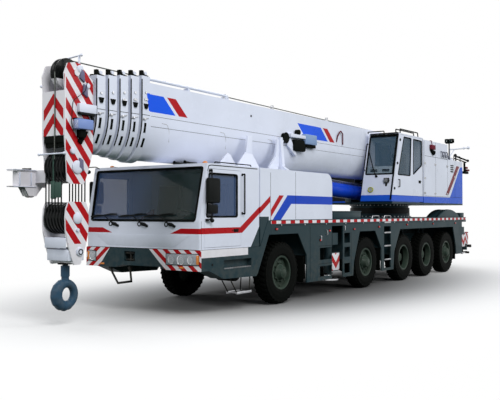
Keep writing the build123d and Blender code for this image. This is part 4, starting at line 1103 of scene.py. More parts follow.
# %% Headlights
housing = matt("lamp_housing", colour(150, 154, 160), 0.3, 60, 0.3)
for side, near, far, lamps in ((1, 0.6, 1.341, ((0.735, 0.07), (0.945, 0.078), (1.16, 0.064))),
                               (-1, 1.11, 1.341, ((1.205, 0.07),))):
    label = dict(SIDES)[side]
    rim = plate(f"lamp_gap_{label}", "x", [(side * near, 1.086), (side * far, 1.098), (side * far, 0.892),
                                           (side * near, 0.884)], FACE - 0.01, FACE + 0.004, 0.002)
    fit(rim, "carrier", plastic)
    inner = plate(f"headlight_bezel_{label}", "x", [(side * (near + 0.014), 1.076),
                                                    (side * (far - 0.014), 1.086),
                                                    (side * (far - 0.014), 0.904),
                                                    (side * (near + 0.014), 0.896)], FACE - 0.01,
                  FACE + 0.009, 0.004)
    fit(inner, "carrier", housing)
    for n, (y, radius) in enumerate(lamps):
        bowl, lens = round_lamp(f"headlight_{n}_{label}", at(0.012, side * y, 0.982), radius, AHEAD)
        fit(bowl, "carrier", chrome)
        fit(lens, "carrier", clear_lens)
indicator = block("indicator_left", at(-0.004, 1.282, 0.915), at(0.018, 1.335, 1.07), 0.008)
both_sides(indicator, "carrier", amber_lens)
reflector = block("front_marker_left", at(-0.002, 0.9, 0.836), at(0.01, 1.0, 0.866), 0.004)
both_sides(reflector, "carrier", amber_lens)
print("headlights")

# %% [markdown]
# Low down the bumper has a tow pin in a dark recess and a fold-down step of bent tube. Under the left side
# body a bigger step hangs from two straps, so that it can swing away over rough ground. Its treads are
# pressed with holes that let mud through. Bars laid side by side show that better than a flat plate.

# %% Tow pin and steps of the front
pin = bar("pin", at(-0.055, -0.262, 0.9), at(-0.055, -0.262, 1.118), 0.03, 20)
knob = pipe("knob", [at(-0.055, -0.3, 1.1), at(-0.055, -0.262, 1.145), at(-0.055, -0.22, 1.1)], 0.008, 0.03)
jaws = [block(f"jaw_{z}", at(-0.155, -0.372, z - 0.016), at(-0.012, -0.15, z + 0.016), 0.01)
        for z in (0.945, 1.065)]
fit(join("tow_pin", pin, knob, *jaws), "carrier", black_paint)
frame_step = pipe("frame_step", [at(-0.05, -0.8, 0.83), at(-0.05, -0.745, 0.7), at(-0.05, -0.6, 0.505),
                                 at(-0.05, -0.262, 0.555), at(-0.05, -0.3, 0.83)], 0.019, 0.04)
tread = block("tread", at(-0.105, -0.585, 0.508), at(-0.012, -0.285, 0.536), 0.006)
tread.data.transform(turned_about(at(-0.05, -0.43, 0.52), 0.147, "X"))
eyes = [bar(f"eye_{y}", at(-0.05, y - 0.03, 0.79), at(-0.05, y + 0.03, 0.79), 0.034, 16)
        for y in (-0.78, -0.296)]
fit(join("front_step", frame_step, tread, *eyes), "carrier", black_paint)
slats = [block(f"slat_{n}", at(-1.47 + 0.052 * n, 1.288, 0.803), at(-1.448 + 0.052 * n, 1.373, 0.82), 0.003)
         for n in range(16)]
both_sides(join("side_tread_left", *slats), "carrier", galvanised)
screw = bar("side_cap_left", at(-0.31, 1.374, 0.9), at(-0.31, 1.383, 0.9), 0.024, 6, 0.003)
both_sides(screw, "carrier", black_paint)
print("tow pin and front steps")

# %% Hanging steps
straps = [pipe(f"strap_{n}", [at(x0, 1.31, 0.66), at(x0 - 0.02, 1.31, 0.58), at(x1, 1.31, 0.345)], 0.011,
               0.04) for n, (x0, x1) in enumerate(((-0.91, -1.12), (-1.5, -1.5)))]
straps += [copy_of(strap, strap.name + "_in", moved(y=-0.2)) for strap in straps]
rims = [block(f"rim_{n}", at(-1.55, y, 0.322), at(-1.09, y + 0.012, 0.366), 0.004)
        for n, y in enumerate((1.092, 1.318))]
teeth = [block(f"tooth_{n}", at(-1.54 + 0.042 * n, 1.1, 0.34), at(-1.522 + 0.042 * n, 1.322, 0.352), 0.003)
         for n in range(11)]
fit(join("hanging_step", *rims, *teeth), "carrier", galvanised)
fit(join("step_straps", *straps), "carrier", black_paint)
for side, label in SIDES:
    flap = block(f"front_mudflap_{label}", at(-3.515, side * 1.08 - 0.24, 0.42),
                 at(-3.5, side * 1.08 + 0.24, 0.9), 0.004)
    fit(flap, "carrier", rubber)
print("hanging steps")

# %% [markdown]
# The boom's side is flat above and oval below, so what sits on its belly must lean with the curve.
# `belly` gives the half width and the slope at a height, from the same arc that the steel was made with.
# A shrinkwrap could press the pieces on instead, but a formula keeps them true and quick to place.

# %% On the boom's side
BELLY_TOP, BOOM_HALF, ARC = 3.4, 0.39, 1.04
SHRINK = 0.03
COLLAR_FRONTS = [0.43 + 0.23 * n for n in range(5)]


def belly(z, grow=0.0):
    """Half width and lean of the boom's side at a height. Above the belly the side stands straight."""
    drop = max(0.0, BELLY_TOP - z)
    radius = ARC + grow
    return math.sqrt(radius ** 2 - drop ** 2) - (radius - BOOM_HALF - grow), math.asin(drop / radius)


def on_side(name, x, z, length, height, grow=0.0, proud=0.004, edge=0.003):
    """A flat pad on the boom's left side, leaned with the belly."""
    half, lean = belly(z, grow)
    pad = block(name, Vector((-length / 2, -0.012, -height / 2)), Vector((length / 2, proud, height / 2)),
                edge)
    pad.data.transform(Matrix.Translation(at(x, half, z)) @ Matrix.Rotation(-lean, 4, "X"))
    return pad


for z in (3.459, 3.28):
    seam = on_side(f"boom_seam_{round(z * 1000)}_left", -5.75, z, 11.8, 0.006, proud=0.0015, edge=0)
    both_sides(seam, "boom_base", plastic)
for n, x in enumerate((-0.29, -1.985, -3.683)):
    points = [at(x + 0.16, belly(3.36)[0], 3.36), at(x + 0.02, belly(3.35)[0], 3.35),
              at(x - 0.04, belly(3.25)[0], 3.25), at(x - 0.09, belly(3.05)[0], 3.05)]
    both_sides(pipe(f"weld_{n}_left", points, 0.005, 0.05), "boom_base", galvanised)
print("half width at the seam", round(belly(3.28)[0], 4))

# %% [markdown]
# Every collar carries the same set: a black hook plate with a roller on its top edge, bolts that hold
# the slide pads, a dark lug, and two long slots in the belly. The sections shrink by 30 mm each, so the
# set is made for each collar from that collar's own half width instead of being copied.

# %% Collars
slot_black = matt("slot_black", (0.004, 0.005, 0.004), 0.7, 60, 0.1)
for n, front in enumerate(COLLAR_FRONTS):
    body = f"boom_section_{n}" if n else "boom_base"
    step = SHRINK * n
    grow = 0.048 - step
    side, top, mid = BOOM_HALF + grow, 4.12 - step, front - 0.0975
    lug = side_plate(f"collar_hook_{n}_left", [(mid - 0.085, top - 0.03), (mid + 0.085, top - 0.03),
                                               (mid + 0.085, top + 0.095), (mid + 0.035, top + 0.095),
                                               (mid + 0.025, top + 0.03), (mid - 0.085, top + 0.02)],
                     side - 0.085, side - 0.02)
    both_sides(lug, body, slot_black)
    roller = bar(f"collar_roller_{n}_left", at(mid - 0.03, side - 0.085, top + 0.055),
                 at(mid - 0.03, side - 0.03, top + 0.055), 0.034, 18)
    both_sides(roller, body, white_paint)
    bolts = [bar(f"bolt_{z}", at(mid + x, side - 0.004, z), at(mid + x, side + 0.016, z), 0.024, 6, 0.002)
             for x, z in ((0.0, 3.84 - step), (0.02, 3.72 - step), (-0.02, 3.72 - step))]
    both_sides(join(f"pad_bolts_{n}_left", *bolts), body, galvanised)
    wedge = side_plate(f"collar_lug_{n}_left", [(mid - 0.055, 3.645), (mid + 0.055, 3.645),
                                                (mid + 0.03, 3.56), (mid - 0.025, 3.56)], side - 0.004,
                       side + 0.022)
    both_sides(wedge, body, slot_black)
    slots = [on_side(f"slot_{z}", mid + x, z, 0.05, height, grow, 0.002, 0.0)
             for x, z, height in ((0.01, 3.235, 0.17), (-0.01, 2.985, 0.16))]
    seam = on_side("seam", mid, 3.455, 0.194, 0.008, grow, 0.002, 0)
    both_sides(join(f"collar_slots_{n}_left", *slots, seam), body, slot_black)
    # A black tube along each collar's front edge is painted shade in the gap between the sections.
    lip = [at(front - 0.002, belly(z, grow)[0], z) for z in (top - 0.06, 3.46, 3.35, 3.2, 3.05, 2.9)]
    both_sides(pipe(f"collar_lip_{n}_left", lip, 0.01, 0.04), body, slot_black)
    clip = on_side("clip", mid + 0.04, 3.385, 0.05, 0.035, grow, 0.03, 0.006)
    tie = bar("tie", at(mid - 0.06, side + 0.012, 3.41), at(mid + 0.1, side + 0.012, 3.37), 0.006, 8)
    both_sides(join(f"collar_clip_{n}_left", clip, tie), body, galvanised)
print("collars", len(COLLAR_FRONTS))

# %% [markdown]
# Along the top of the base section lie two thin tubes, and the hoist rope runs above them from the winch
# to the top sheave. On the left side sits a hose reel with its valve box. The box is pressed sheet, so
# its edges are well rounded, and the reel is two turned flanges with the hose wound between them.

# %% Fittings of the boom's base section
tubes = [pipe(f"tube_{y}", [at(0.4, y, 4.06), at(0.36, y, z), at(-2.1, y, z), at(-2.14, y, 4.03)], 0.027,
              0.05) for y, z in ((0.345, 4.105), (0.285, 4.125))]
clamps = [block(f"clamp_{x}", at(x - 0.02, 0.25, 4.028), at(x + 0.02, 0.38, 4.085), 0.006)
          for x in (0.25, -0.9, -2.05)]
fit(join("boom_tubes", *tubes, *clamps), "boom_base", white_paint)
for n, (x, y) in enumerate(((-2.05, 0.33), (-3.84, 0.29), (-6.3, 0.29))):
    stand = block("stand", at(x - 0.03, y - 0.03, 4.028), at(x + 0.03, y + 0.03, 4.085), 0.008)
    wheel = bar("wheel", at(x, y - 0.025, 4.105), at(x, y + 0.025, 4.105), 0.038, 20)
    fit(join(f"boom_post_{n}", stand, wheel), "boom_base", galvanised)
fit(bar("boom_plug", at(-2.885, 0.385, 3.793), at(-2.885, 0.398, 3.793), 0.024, 20), "boom_base", rubber)
cabinet = block("cabinet", at(-5.45, 0.385, 3.365), at(-4.93, 0.51, 3.6), 0.022)
door_line = block("door_line", at(-5.4, 0.508, 3.395), at(-4.98, 0.514, 3.57), 0.004)
fit(join("valve_box", cabinet, door_line), "boom_base", painted("box_blue", colour(136, 162, 200),
                                                                rough=0.4))
arm = block("arm", at(-4.96, 0.385, 3.475), at(-4.3, 0.5, 3.555), 0.012)
gusset = side_plate("gusset", [(-4.24, 3.3), (-4.62, 3.06), (-4.66, 3.1), (-4.4, 3.46), (-4.26, 3.46)],
                    0.36, 0.43, 0.006)
fit(join("reel_bracket", arm, gusset), "boom_base", white_paint)
reel = turned("reel", [(0.0, 0.0), (0.12, 0.0), (0.12, 0.014), (0.07, 0.02), (0.07, 0.075), (0.12, 0.081),
                       (0.12, 0.095), (0.0, 0.095)], at(-4.15, 0.375, 3.445), ACROSS, 32)
hose = [turned(f"turn_{n}", [(0.07, 0), (0.094, 0), (0.094, 0.014), (0.07, 0.014)],
               at(-4.15, 0.396 + 0.018 * n, 3.445), ACROSS, 28) for n in range(3)]
spare = bar("spare", at(-4.66, 0.4, 3.61), at(-4.66, 0.5, 3.61), 0.062, 24)
motor = block("motor", at(-4.98, 0.38, 3.185), at(-4.48, 0.48, 3.44), 0.03)
foot = block("foot", at(-5.46, 0.382, 3.3), at(-5.02, 0.47, 3.362), 0.012)
fit(join("hose_reel", reel, spare, motor, foot, *hose), "boom_base", slot_black)
loop = pipe("hose_loop", [at(-6.62, 0.392, 3.55), at(-6.64, 0.42, 3.71), at(-6.78, 0.43, 3.84),
                          at(-6.89, 0.43, 3.77), at(-6.93, 0.41, 3.51)], 0.016, 0.1)
fit(loop, "boom_base", matt("hose_red", colour(92, 34, 46), 0.5))
fins = [side_plate("fin_low", [(-1.638, 2.749), (-1.897, 2.955), (-1.985, 2.909), (-2.134, 2.75),
                               (-2.134, 2.62), (-1.7, 2.62)], 0.5, 0.54, 0.006),
        side_plate("fin_foot", [(-2.224, 2.755), (-2.501, 3.014), (-2.723, 2.993), (-2.983, 2.714),
                                (-3.149, 2.694), (-3.149, 2.6), (-2.2, 2.6)], 0.5, 0.54, 0.006),
        side_plate("fin_spire", [(-2.501, 3.0), (-2.564, 3.345), (-2.723, 3.359), (-2.723, 2.98)], 0.5,
                   0.54, 0.006)]
both_sides(join("rest_fins_left", *fins), "carrier", white_paint)
print("boom fittings")

# %% [markdown]
# The head is all sheaves and guards. Bars across it keep the rope in its grooves, a bowed cover hides
# the upper run, and every sheave axle ends in a round boss. The hook block has bosses of its own, plates
# across its foot, and a nut cover. The stripes are in the paint, so nothing here has to line up with them.

# %% Fittings of the boom head
HEAD_SIDE = 0.262
guards = [bar("top_guard", at(1.66, -0.3, 4.225), at(1.66, 0.3, 4.262), 0.013),
          bar("low_guard", at(1.985, -0.3, 2.7), at(1.985, 0.285, 2.7), 0.013)]
knobs = [ball(f"knob_{n}", spot, 0.024) for n, spot in enumerate((at(1.66, -0.3, 4.225),
                                                                  at(1.66, 0.3, 4.262),
                                                                  at(1.985, -0.3, 2.7),
                                                                  at(1.985, 0.285, 2.7),
                                                                  at(1.955, -0.285, 3.78)))]
stays = [block(f"stay_{n}", at(x - 0.02, y - 0.008, z0), at(x + 0.02, y + 0.008, z1), 0.004)
         for n, (x, y, z0, z1) in enumerate(((1.66, -0.252, 4.1, 4.235), (1.66, 0.252, 4.1, 4.265)))]
arms = [block(f"arm_{y}", at(1.9, y - 0.008, 2.685), at(1.99, y + 0.008, 2.715), 0.004)
        for y in (-0.252, 0.252)]
fit(join("head_guards", *guards, *knobs, *stays, *arms), "boom_head", white_paint)
funnel = [block("throat", at(1.88, -0.222, 2.872), at(1.95, 0.235, 2.978), 0.01),
          plate("lip", "x", [(-0.2, 2.8), (0.235, 2.8), (0.235, 2.874), (-0.222, 2.874)], FACE + 1.9,
                FACE + 1.925, 0.004)]
fit(join("rope_funnel", *funnel), "boom_head", slot_black)
bosses = [turned(f"boss_{n}", [(0, 0), (radius, 0), (radius, 0.018), (radius * 0.82, 0.03),
                               (radius * 0.4, 0.034), (0, 0.034)], at(x, 0.264, z), ACROSS, 30)
          for n, (x, z, radius) in enumerate(((1.66, 4.045, 0.062), (1.705, 2.5, 0.105), (1.5, 3.8, 0.045),
                                              (1.8, 2.745, 0.05)))]
both_sides(join("head_bosses_left", *bosses), "boom_head", white_paint)
ears = [side_plate(f"ear_{n}", [(x - 0.05, z - 0.11), (x + 0.05, z - 0.05), (x + 0.03, z + 0.1),
                                (x - 0.04, z + 0.06)], HEAD_SIDE, 0.3, 0.008)
        for n, (x, z) in enumerate(((1.625, 3.95), (1.56, 3.72), (1.64, 2.55)))]
both_sides(join("head_ears_left", *ears), "boom_head", matt("ear_grey", colour(106, 104, 128), 0.5))
box = block("anchor_box", at(1.355, HEAD_SIDE, 3.36), at(1.72, 0.335, 3.5), 0.012)
fit(box, "boom_head", white_paint)
bracket = [block("shelf", at(1.4, HEAD_SIDE, 3.325), at(1.7, 0.33, 3.358), 0.006),
           bar("pin", at(1.42, 0.3, 3.22), at(1.42, 0.3, 3.34), 0.03)]
fit(join("anchor_shelf", *bracket), "boom_head", black_paint)
lamp_body = block("lamp_body", at(1.5, 0.285, 3.085), at(1.81, 0.42, 3.245), 0.018)
fit(lamp_body, "boom_head", painted("lamp_blue", colour(128, 150, 205), rough=0.35))
yoke = [block("yoke", at(1.52, HEAD_SIDE, 3.245), at(1.8, 0.35, 3.262), 0.004),
        block("neck", at(1.6, HEAD_SIDE, 2.96), at(1.72, 0.36, 3.09), 0.012),
        side_plate("foot", [(1.5, 3.07), (1.62, 3.08), (1.7, 2.9), (1.64, 2.86)], HEAD_SIDE, 0.3, 0.004)]
fit(join("lamp_yoke", *yoke), "boom_head", slot_black)
fit(block("lamp_glass", at(1.807, 0.3, 3.1), at(1.816, 0.405, 3.23), 0.003), "boom_head", clear_lens)
cable = pipe("head_cable", [at(1.52, 0.29, 3.86), at(1.6, 0.33, 3.7), at(1.83, 0.305, 3.52),
                            at(1.845, 0.29, 3.2), at(1.8, 0.285, 3.05)], 0.006, 0.08)
fit(cable, "boom_head", plastic)
print("head fittings")

# %% Rope and auxiliary nose
rope_steel = bare_metal("rope_steel", (0.1, 0.11, 0.1), 0.45, 0.5)
rope_ends = at(1.72, 0, 4.216), at(-11.35, 0, 4.105)
run = bar("run", *rope_ends, 0.011, 10)
falls = bar("falls", at(1.966, 0.045, 3.98), at(1.966, 0.045, 2.62), 0.01, 10)
fit(join("hoist_rope", run, falls), "boom_head", rope_steel)
guide = turned("guide", [(0, -0.05), (0.075, -0.05), (0.075, -0.035), (0.045, -0.02), (0.045, 0.02),
                         (0.075, 0.035), (0.075, 0.05), (0, 0.05)], at(-11.35, 0, 4.045), ACROSS, 28)
cheeks = [side_plate(f"cheek_{y}", [(-11.47, 4.028), (-11.4, 4.1), (-11.3, 4.1), (-11.23, 4.028)], y,
                     y + 0.012, 0.003) for y in (-0.075, 0.063)]
fit(join("rope_guide", guide, *cheeks), "boom_base", black_paint)
flanges = [block(f"flange_{z}", at(1.9, -0.655, z), at(2.33, -0.465, z + 0.012), 0.003)
           for z in (2.19, 2.455)]
seam_bars = [block(f"rib_{x}", at(x, -0.484, 2.225), at(x + 0.018, -0.466, 2.42), 0.003)
             for x in (1.98, 2.2)]
fit(join("nose_flanges", *flanges, *seam_bars), "boom_head", white_paint)
latch = [block("latch", at(1.95, -0.6, 2.462), at(2.08, -0.52, 2.492), 0.008),
         bar("latch_pin", at(1.98, -0.62, 2.485), at(1.98, -0.5, 2.485), 0.012)]
fit(join("nose_latch", *latch), "boom_head", black_paint)
weight = [block("cone", at(1.915, -0.045, 2.0), at(1.975, 0.045, 2.28), 0.015),
          block("plate", at(1.955, -0.02, 2.02), at(1.963, 0.19, 2.26), 0.003)]
switch_rod = bar("rod", at(1.95, 0.0, 2.27), at(1.95, 0.0, 2.7), 0.012)
fit(join("limit_weight", switch_rod, *weight), "hook_block",
    painted("limit_green", colour(58, 82, 74), rough=0.5))
print("rope", round((rope_ends[0] - rope_ends[1]).length, 2), "m along the boom")

# %% Fittings of the hook block
dome = [turned(f"dome_{n}", [(0, 0), (radius, 0), (radius, 0.014), (radius * 0.86, 0.026), (0, 0.032)],
               at(x, 0.2755, z), ACROSS, 36) for n, (x, z, radius) in enumerate(((1.705, 1.7, 0.088),
                                                                                 (1.705, 1.515, 0.03),
                                                                                 (1.66, 1.175, 0.07)))]
both_sides(join("block_bosses_left", *dome), "hook_block", white_paint)
ring = turned("block_ring_left", [(0.034, 0), (0.046, 0), (0.046, 0.01), (0.034, 0.01)],
              at(1.66, 0.303, 1.175), steps=30)
both_sides(ring, "hook_block", plastic)
face = [block("tray", at(1.5, -0.245, 1.375), at(1.9, 0.245, 1.4), 0.004),
        block("skirt", at(1.895, -0.245, 1.235), at(1.912, 0.245, 1.398), 0.004),
        block("lower", at(1.54, -0.246, 1.035), at(1.865, 0.246, 1.215), 0.01)]
fit(join("block_face", *face), "hook_block", white_paint)
HOOK_EYE, HOOK_RADIUS = at(1.705, 0, 0.495), 0.18


def round_hook(n):
    """The n-th point round the hook, from its shank to its tip."""
    angle = math.radians(118 - 25 * n)
    return HOOK_EYE + Vector((HOOK_RADIUS * math.cos(angle), 0, HOOK_RADIUS * math.sin(angle)))


claw = []
for n in range(12):
    thick = 0.066 + 0.026 * math.sin(math.pi * min(1.0, n / 9)) - 0.02 * max(0, n - 8) / 3
    claw.append(bar("claw", round_hook(n), round_hook(n + 1), thick, 20, 0.0))
    claw.append(ball("knuckle", round_hook(n + 1), thick))
fit(join("hook_claw", *claw), "hook", hook_steel)
collar_ring = turned("hook_collar", [(0.046, 0.0), (0.115, 0.0), (0.12, 0.012), (0.115, 0.03),
                                     (0.046, 0.034)], at(1.705, 0, 0.972), UP, 40)
fit(collar_ring, "hook", black_paint)
print("hook block fittings")

# %% [markdown]
# The crane cab hangs at the left of the turntable. Its front leans back more than the driver's screen,
# so it has a slope of its own. The screen gets a rubber, a pale dash with vents behind it, a wiper that
# sweeps from the low corner, and a grab bar. A cut along the slope keeps the dash behind the glass.

# %% Front of the crane cab
CRANE_LEAN = Vector((0.9598, 0, 0.2807))
CRANE_SLOPE, CRANE_TURN = 0.2924, -0.285
CRANE_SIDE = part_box("crane_cab_door")[1].y


def on_crane_front(y, z, out=0.0):
    return at(-7.82 - CRANE_SLOPE * (z - 2.088), y, z) + CRANE_LEAN * out


corners = [on_crane_front(y, z, -0.004) for y, z in ((0.515, 2.797), (1.278, 2.797), (1.278, 3.816),
                                                     (0.515, 3.816))]
fit(pipe("crane_screen_rubber", ring_path(corners), 0.021, 0.07), "superstructure", rubber)
shelf = block("crane_dash", at(-8.36, 0.5, 2.66), at(-7.98, 1.285, 3.005), 0.012,
              [(on_crane_front(0, 2.8, -0.034), CRANE_LEAN)])
fit(shelf, "superstructure", matt("dash_grey", colour(214, 224, 228), 0.5, 70, 0.2))
slots = [block(f"slot_{n}", Vector((-0.006, -0.1, -0.012)), Vector((0.012, 0.1, 0.012)), 0.003)
         for n in range(4)]
for n, slot in enumerate(slots):
    slot.data.transform(Matrix.Translation(on_crane_front((0.72, 1.06)[n % 2], 2.885 + 0.035 * (n // 2),
                                                          -0.03)) @ Matrix.Rotation(CRANE_TURN, 4, "Y"))
fit(join("crane_dash_vents", *slots), "superstructure", plastic)
spindle = on_crane_front(0.83, 2.735, 0.016)
swept = [pipe("arm", [spindle, on_crane_front(0.8, 2.8, 0.045), on_crane_front(0.63, 3.17, 0.04)], 0.01,
              0.04), pipe("blade", [on_crane_front(0.73, 2.92, 0.02), on_crane_front(0.53, 3.42, 0.02)],
                          0.012, 0.02), bar("cap", on_crane_front(0.83, 2.735, -0.004),
                                            spindle + CRANE_LEAN * 0.02, 0.032, 20)]
fit(join("crane_wiper", *swept), "superstructure", plastic)
rail = pipe("rail", [on_crane_front(0.475, 3.62, -0.01), on_crane_front(0.475, 3.6, 0.07),
                     on_crane_front(0.475, 2.92, 0.07), on_crane_front(0.475, 2.9, -0.01)], 0.014, 0.05)
fit(rail, "superstructure", plastic)
edge = pipe("crane_corner_strip", [on_crane_front(1.3, z, 0.006) for z in (2.12, 3.0, 3.86)], 0.021, 0.03)
fit(edge, "superstructure", rubber)
bowl, lens = round_lamp("crane_front_lamp", on_crane_front(0.72, 2.379, 0.035), 0.058, (1, 0, 0.1))
ring = turned("lamp_ring", [(0.058, -0.04), (0.07, -0.04), (0.072, 0.008), (0.06, 0.01)],
              on_crane_front(0.72, 2.379, 0.035), (1, 0, 0.1), 28)
fit(join("crane_front_lamp", bowl, ring), "superstructure", painted("lamp_yellow", colour(176, 178, 60),
                                                                    rough=0.4))
fit(lens, "superstructure", clear_lens)
work = [block("can", at(-8.0, 1.07, 2.56), at(-7.905, 1.2, 2.69), 0.016),
        bar("fork", at(-7.965, 1.05, 2.62), at(-7.965, 1.22, 2.62), 0.01),
        block("stem", at(-7.99, 1.11, 2.47), at(-7.93, 1.16, 2.565), 0.005)]
fit(join("crane_work_lamp", *work), "superstructure", slot_black)
fit(block("crane_work_glass", at(-7.908, 1.082, 2.572), at(-7.898, 1.188, 2.678), 0.003), "superstructure",
    clear_lens)
brow = block("brow", Vector((-0.012, 0.5, -0.036)), Vector((0.006, 1.3, 0.03)), 0.006)
brow.data.transform(Matrix.Translation(on_crane_front(0, 3.838)) @ Matrix.Rotation(CRANE_TURN, 4, "Y"))
brow_bar = pipe("brow_bar", [at(-8.3, 0.46, 3.9), at(-8.29, 0.46, 3.945), at(-8.29, 0.92, 3.945),
                             at(-8.3, 0.92, 3.885)], 0.014, 0.03)
fit(join("crane_brow", brow, brow_bar), "superstructure", slot_black)
print("crane cab front")

# %% [markdown]
# The crane cab's door swings, so its panes, rubbers, hinges and handles ride on it. Above the door runs
# a gutter and the roof carries low rails. The panes are thin plates on the same corners as the openings.

# %% Door and roof of the crane cab
PANES = ([(-8.627, 3.794), (-9.12, 3.794), (-9.042, 2.785), (-8.23, 2.785)],
         [(-9.27, 3.788), (-9.87, 3.78), (-9.87, 3.104), (-9.26, 2.827)])
for n, pane in enumerate(PANES):
    fit(side_plate(f"crane_pane_{n}", pane, 1.315, 1.321, 0), "crane_cab_door", cab_glass)
    corners = [at(x, CRANE_SIDE - 0.003, z) for x, z in pane]
    fit(pipe(f"crane_pane_rubber_{n}", ring_path(corners), 0.016, 0.06), "crane_cab_door", rubber)
hinges = []
for z in (3.7, 3.08, 2.42):
    seat_point = on_crane_front(CRANE_SIDE, z) + Vector((-0.08, 0, 0))
    hinges.append(bar("hinge", seat_point + Vector((0, -0.002, 0)), seat_point + Vector((0, 0.022, 0)),
                      0.034, 20, 0.006))
grip = pipe("grip", [at(-8.265, CRANE_SIDE + out, z) for out, z in ((-0.004, 2.655), (0.04, 2.645),
                                                                    (0.04, 2.47), (-0.004, 2.46))], 0.013,
            0.03)
latch = [block("cup", at(-9.8, CRANE_SIDE - 0.002, 2.6), at(-9.64, CRANE_SIDE + 0.006, 2.68), 0.004),
         block("pull", at(-9.79, CRANE_SIDE, 2.645), at(-9.66, CRANE_SIDE + 0.024, 2.665), 0.006)]
fit(join("crane_door_handles", grip, *hinges, *latch), "crane_cab_door", plastic)
hoop = ((-8.47, 3.87), (-8.46, 3.995), (-9.66, 3.995), (-9.7, 3.87))
rails = [pipe("roof_rail", [at(x, y, z) for x, z in hoop], 0.016, 0.04) for y in (1.3, 1.18)]
visor = block("visor", at(-8.5, 0.5, 3.872), at(-8.32, 1.29, 3.902), 0.01)
hatch = block("hatch", at(-9.7, 0.66, 3.876), at(-9.34, 1.14, 3.906), 0.012)
fit(join("crane_roof_fittings", *rails, visor, hatch), "superstructure", slot_black)
gutter = pipe("crane_gutter", [at(-8.36, 1.318, 3.866), at(-9.93, 1.318, 3.868)], 0.01)
back_seam = block("back_seam", at(-9.956, 1.3, 2.25), at(-9.942, 1.3385, 3.85), 0.003)
fit(join("crane_cab_seals", gutter, back_seam), "superstructure", rubber)
seat = block("cushion", at(-9.25, 0.66, 2.62), at(-8.78, 1.1, 2.74), 0.04)
back = block("back", at(-9.4, 0.68, 2.72), at(-9.26, 1.08, 3.42), 0.05)
head = block("head_rest", at(-9.39, 0.76, 3.44), at(-9.29, 1.0, 3.6), 0.04)
sticks = [bar(f"stick_{y}", at(-8.8, y, 2.7), at(-8.76, y, 2.98), 0.014) for y in (0.6, 1.16)]
knobs = [ball(f"stick_knob_{y}", at(-8.76, y, 3.0), 0.032) for y in (0.6, 1.16)]
fit(join("crane_seat", seat, back, head, *sticks, *knobs), "superstructure", cloth)
print("crane cab door, roof and seat")

# %% [markdown]
# The machine covers are sheet doors: fine seams, latches and rows of louvres are what shows that. A seam
# is a thin dark strip, since a groove that narrow would cost many faces. The louvres are turned down to
# shed rain, modelled once and copied down in a row.

# %% Covers of the superstructure
def seams(name, lines, y=OVER_SIDE):
    """Dark joint lines on a side: each is two points as x and z."""
    strips = [block(f"line_{n}", at(min(a, c) - 0.004, y - 0.004, min(b, d) - 0.004),
                    at(max(a, c) + 0.004, y + 0.0015, max(b, d) + 0.004), 0)
              for n, (a, b, c, d) in enumerate(lines)]
    return join(name, *strips)


fit(seams("cover_seams_left", [(-10.1, 2.26, -10.1, 3.8), (-10.95, 2.26, -10.95, 3.82),
                               (-11.945, 2.26, -11.945, 3.39), (-12.6, 2.26, -12.6, 3.39),
                               (-10.1, 2.262, -13.28, 2.262), (-10.1, 3.395, -11.94, 3.395)]),
    "superstructure", plastic)
fit(mirrored(seams("cover_seams_right", [(-9.32, 2.26, -9.32, 3.08), (-10.3, 2.26, -10.3, 3.38),
                                         (-11.3, 2.26, -11.3, 3.38), (-12.3, 2.26, -12.3, 3.38),
                                         (-9.32, 2.262, -13.28, 2.262)])), "superstructure", plastic)
catch = [block("plate", at(-10.16, OVER_SIDE - 0.003, 3.15), at(-10.05, OVER_SIDE + 0.008, 3.215), 0.004),
         block("lever", at(-10.15, OVER_SIDE, 3.175), at(-10.07, OVER_SIDE + 0.026, 3.193), 0.006)]
catch = join("catch", *catch)
catches = [copy_of(catch, f"catch_{n}", moved(x, 0, z)) for n, (x, z) in enumerate(((0, -0.42), (0, -0.84),
                                                                                    (-0.8, 0),
                                                                                    (-0.8, -0.84),
                                                                                    (-1.8, 0),
                                                                                    (-1.8, -0.84),
                                                                                    (-2.5, -0.3)))]
both_sides(join("cover_catches_left", catch, *catches), "superstructure", galvanised)
LOUVRE_PITCH = 0.31
slat = plate("slat", "x", [(0, 0), (0.02, -0.024), (0.02, -0.03), (0, -0.012)], -0.13, 0.13, 0.0)


def louvres(name, x, z, rows, columns, drop, side=OVER_SIDE):
    """Rows of slats pressed in a side."""
    spots = [at(x - LOUVRE_PITCH * column, side, z - drop * row) for row in range(rows)
             for column in range(columns)]
    return join(name, *[copy_of(slat, "slat", Matrix.Translation(spot)) for spot in spots])


both_sides(louvres("cover_louvres_left", -12.33, 3.25, 4, 1, 0.062), "superstructure", black_paint)
top_lines = [block(f"top_{x}", at(x - 0.004, 0.48, 3.836), at(x + 0.004, 1.325, 3.8415), 0)
             for x in (-10.55, -10.95, -11.45)]
fit(join("cover_top_lines", *top_lines), "superstructure", plastic)
print("covers")

# %% [markdown]
# On top and behind stand the small things that give a crane its busy outline: a red lamp, hose hooks, a
# double work lamp on its post, an arm that carries the rope's end switch, and a guard rail by the winch.

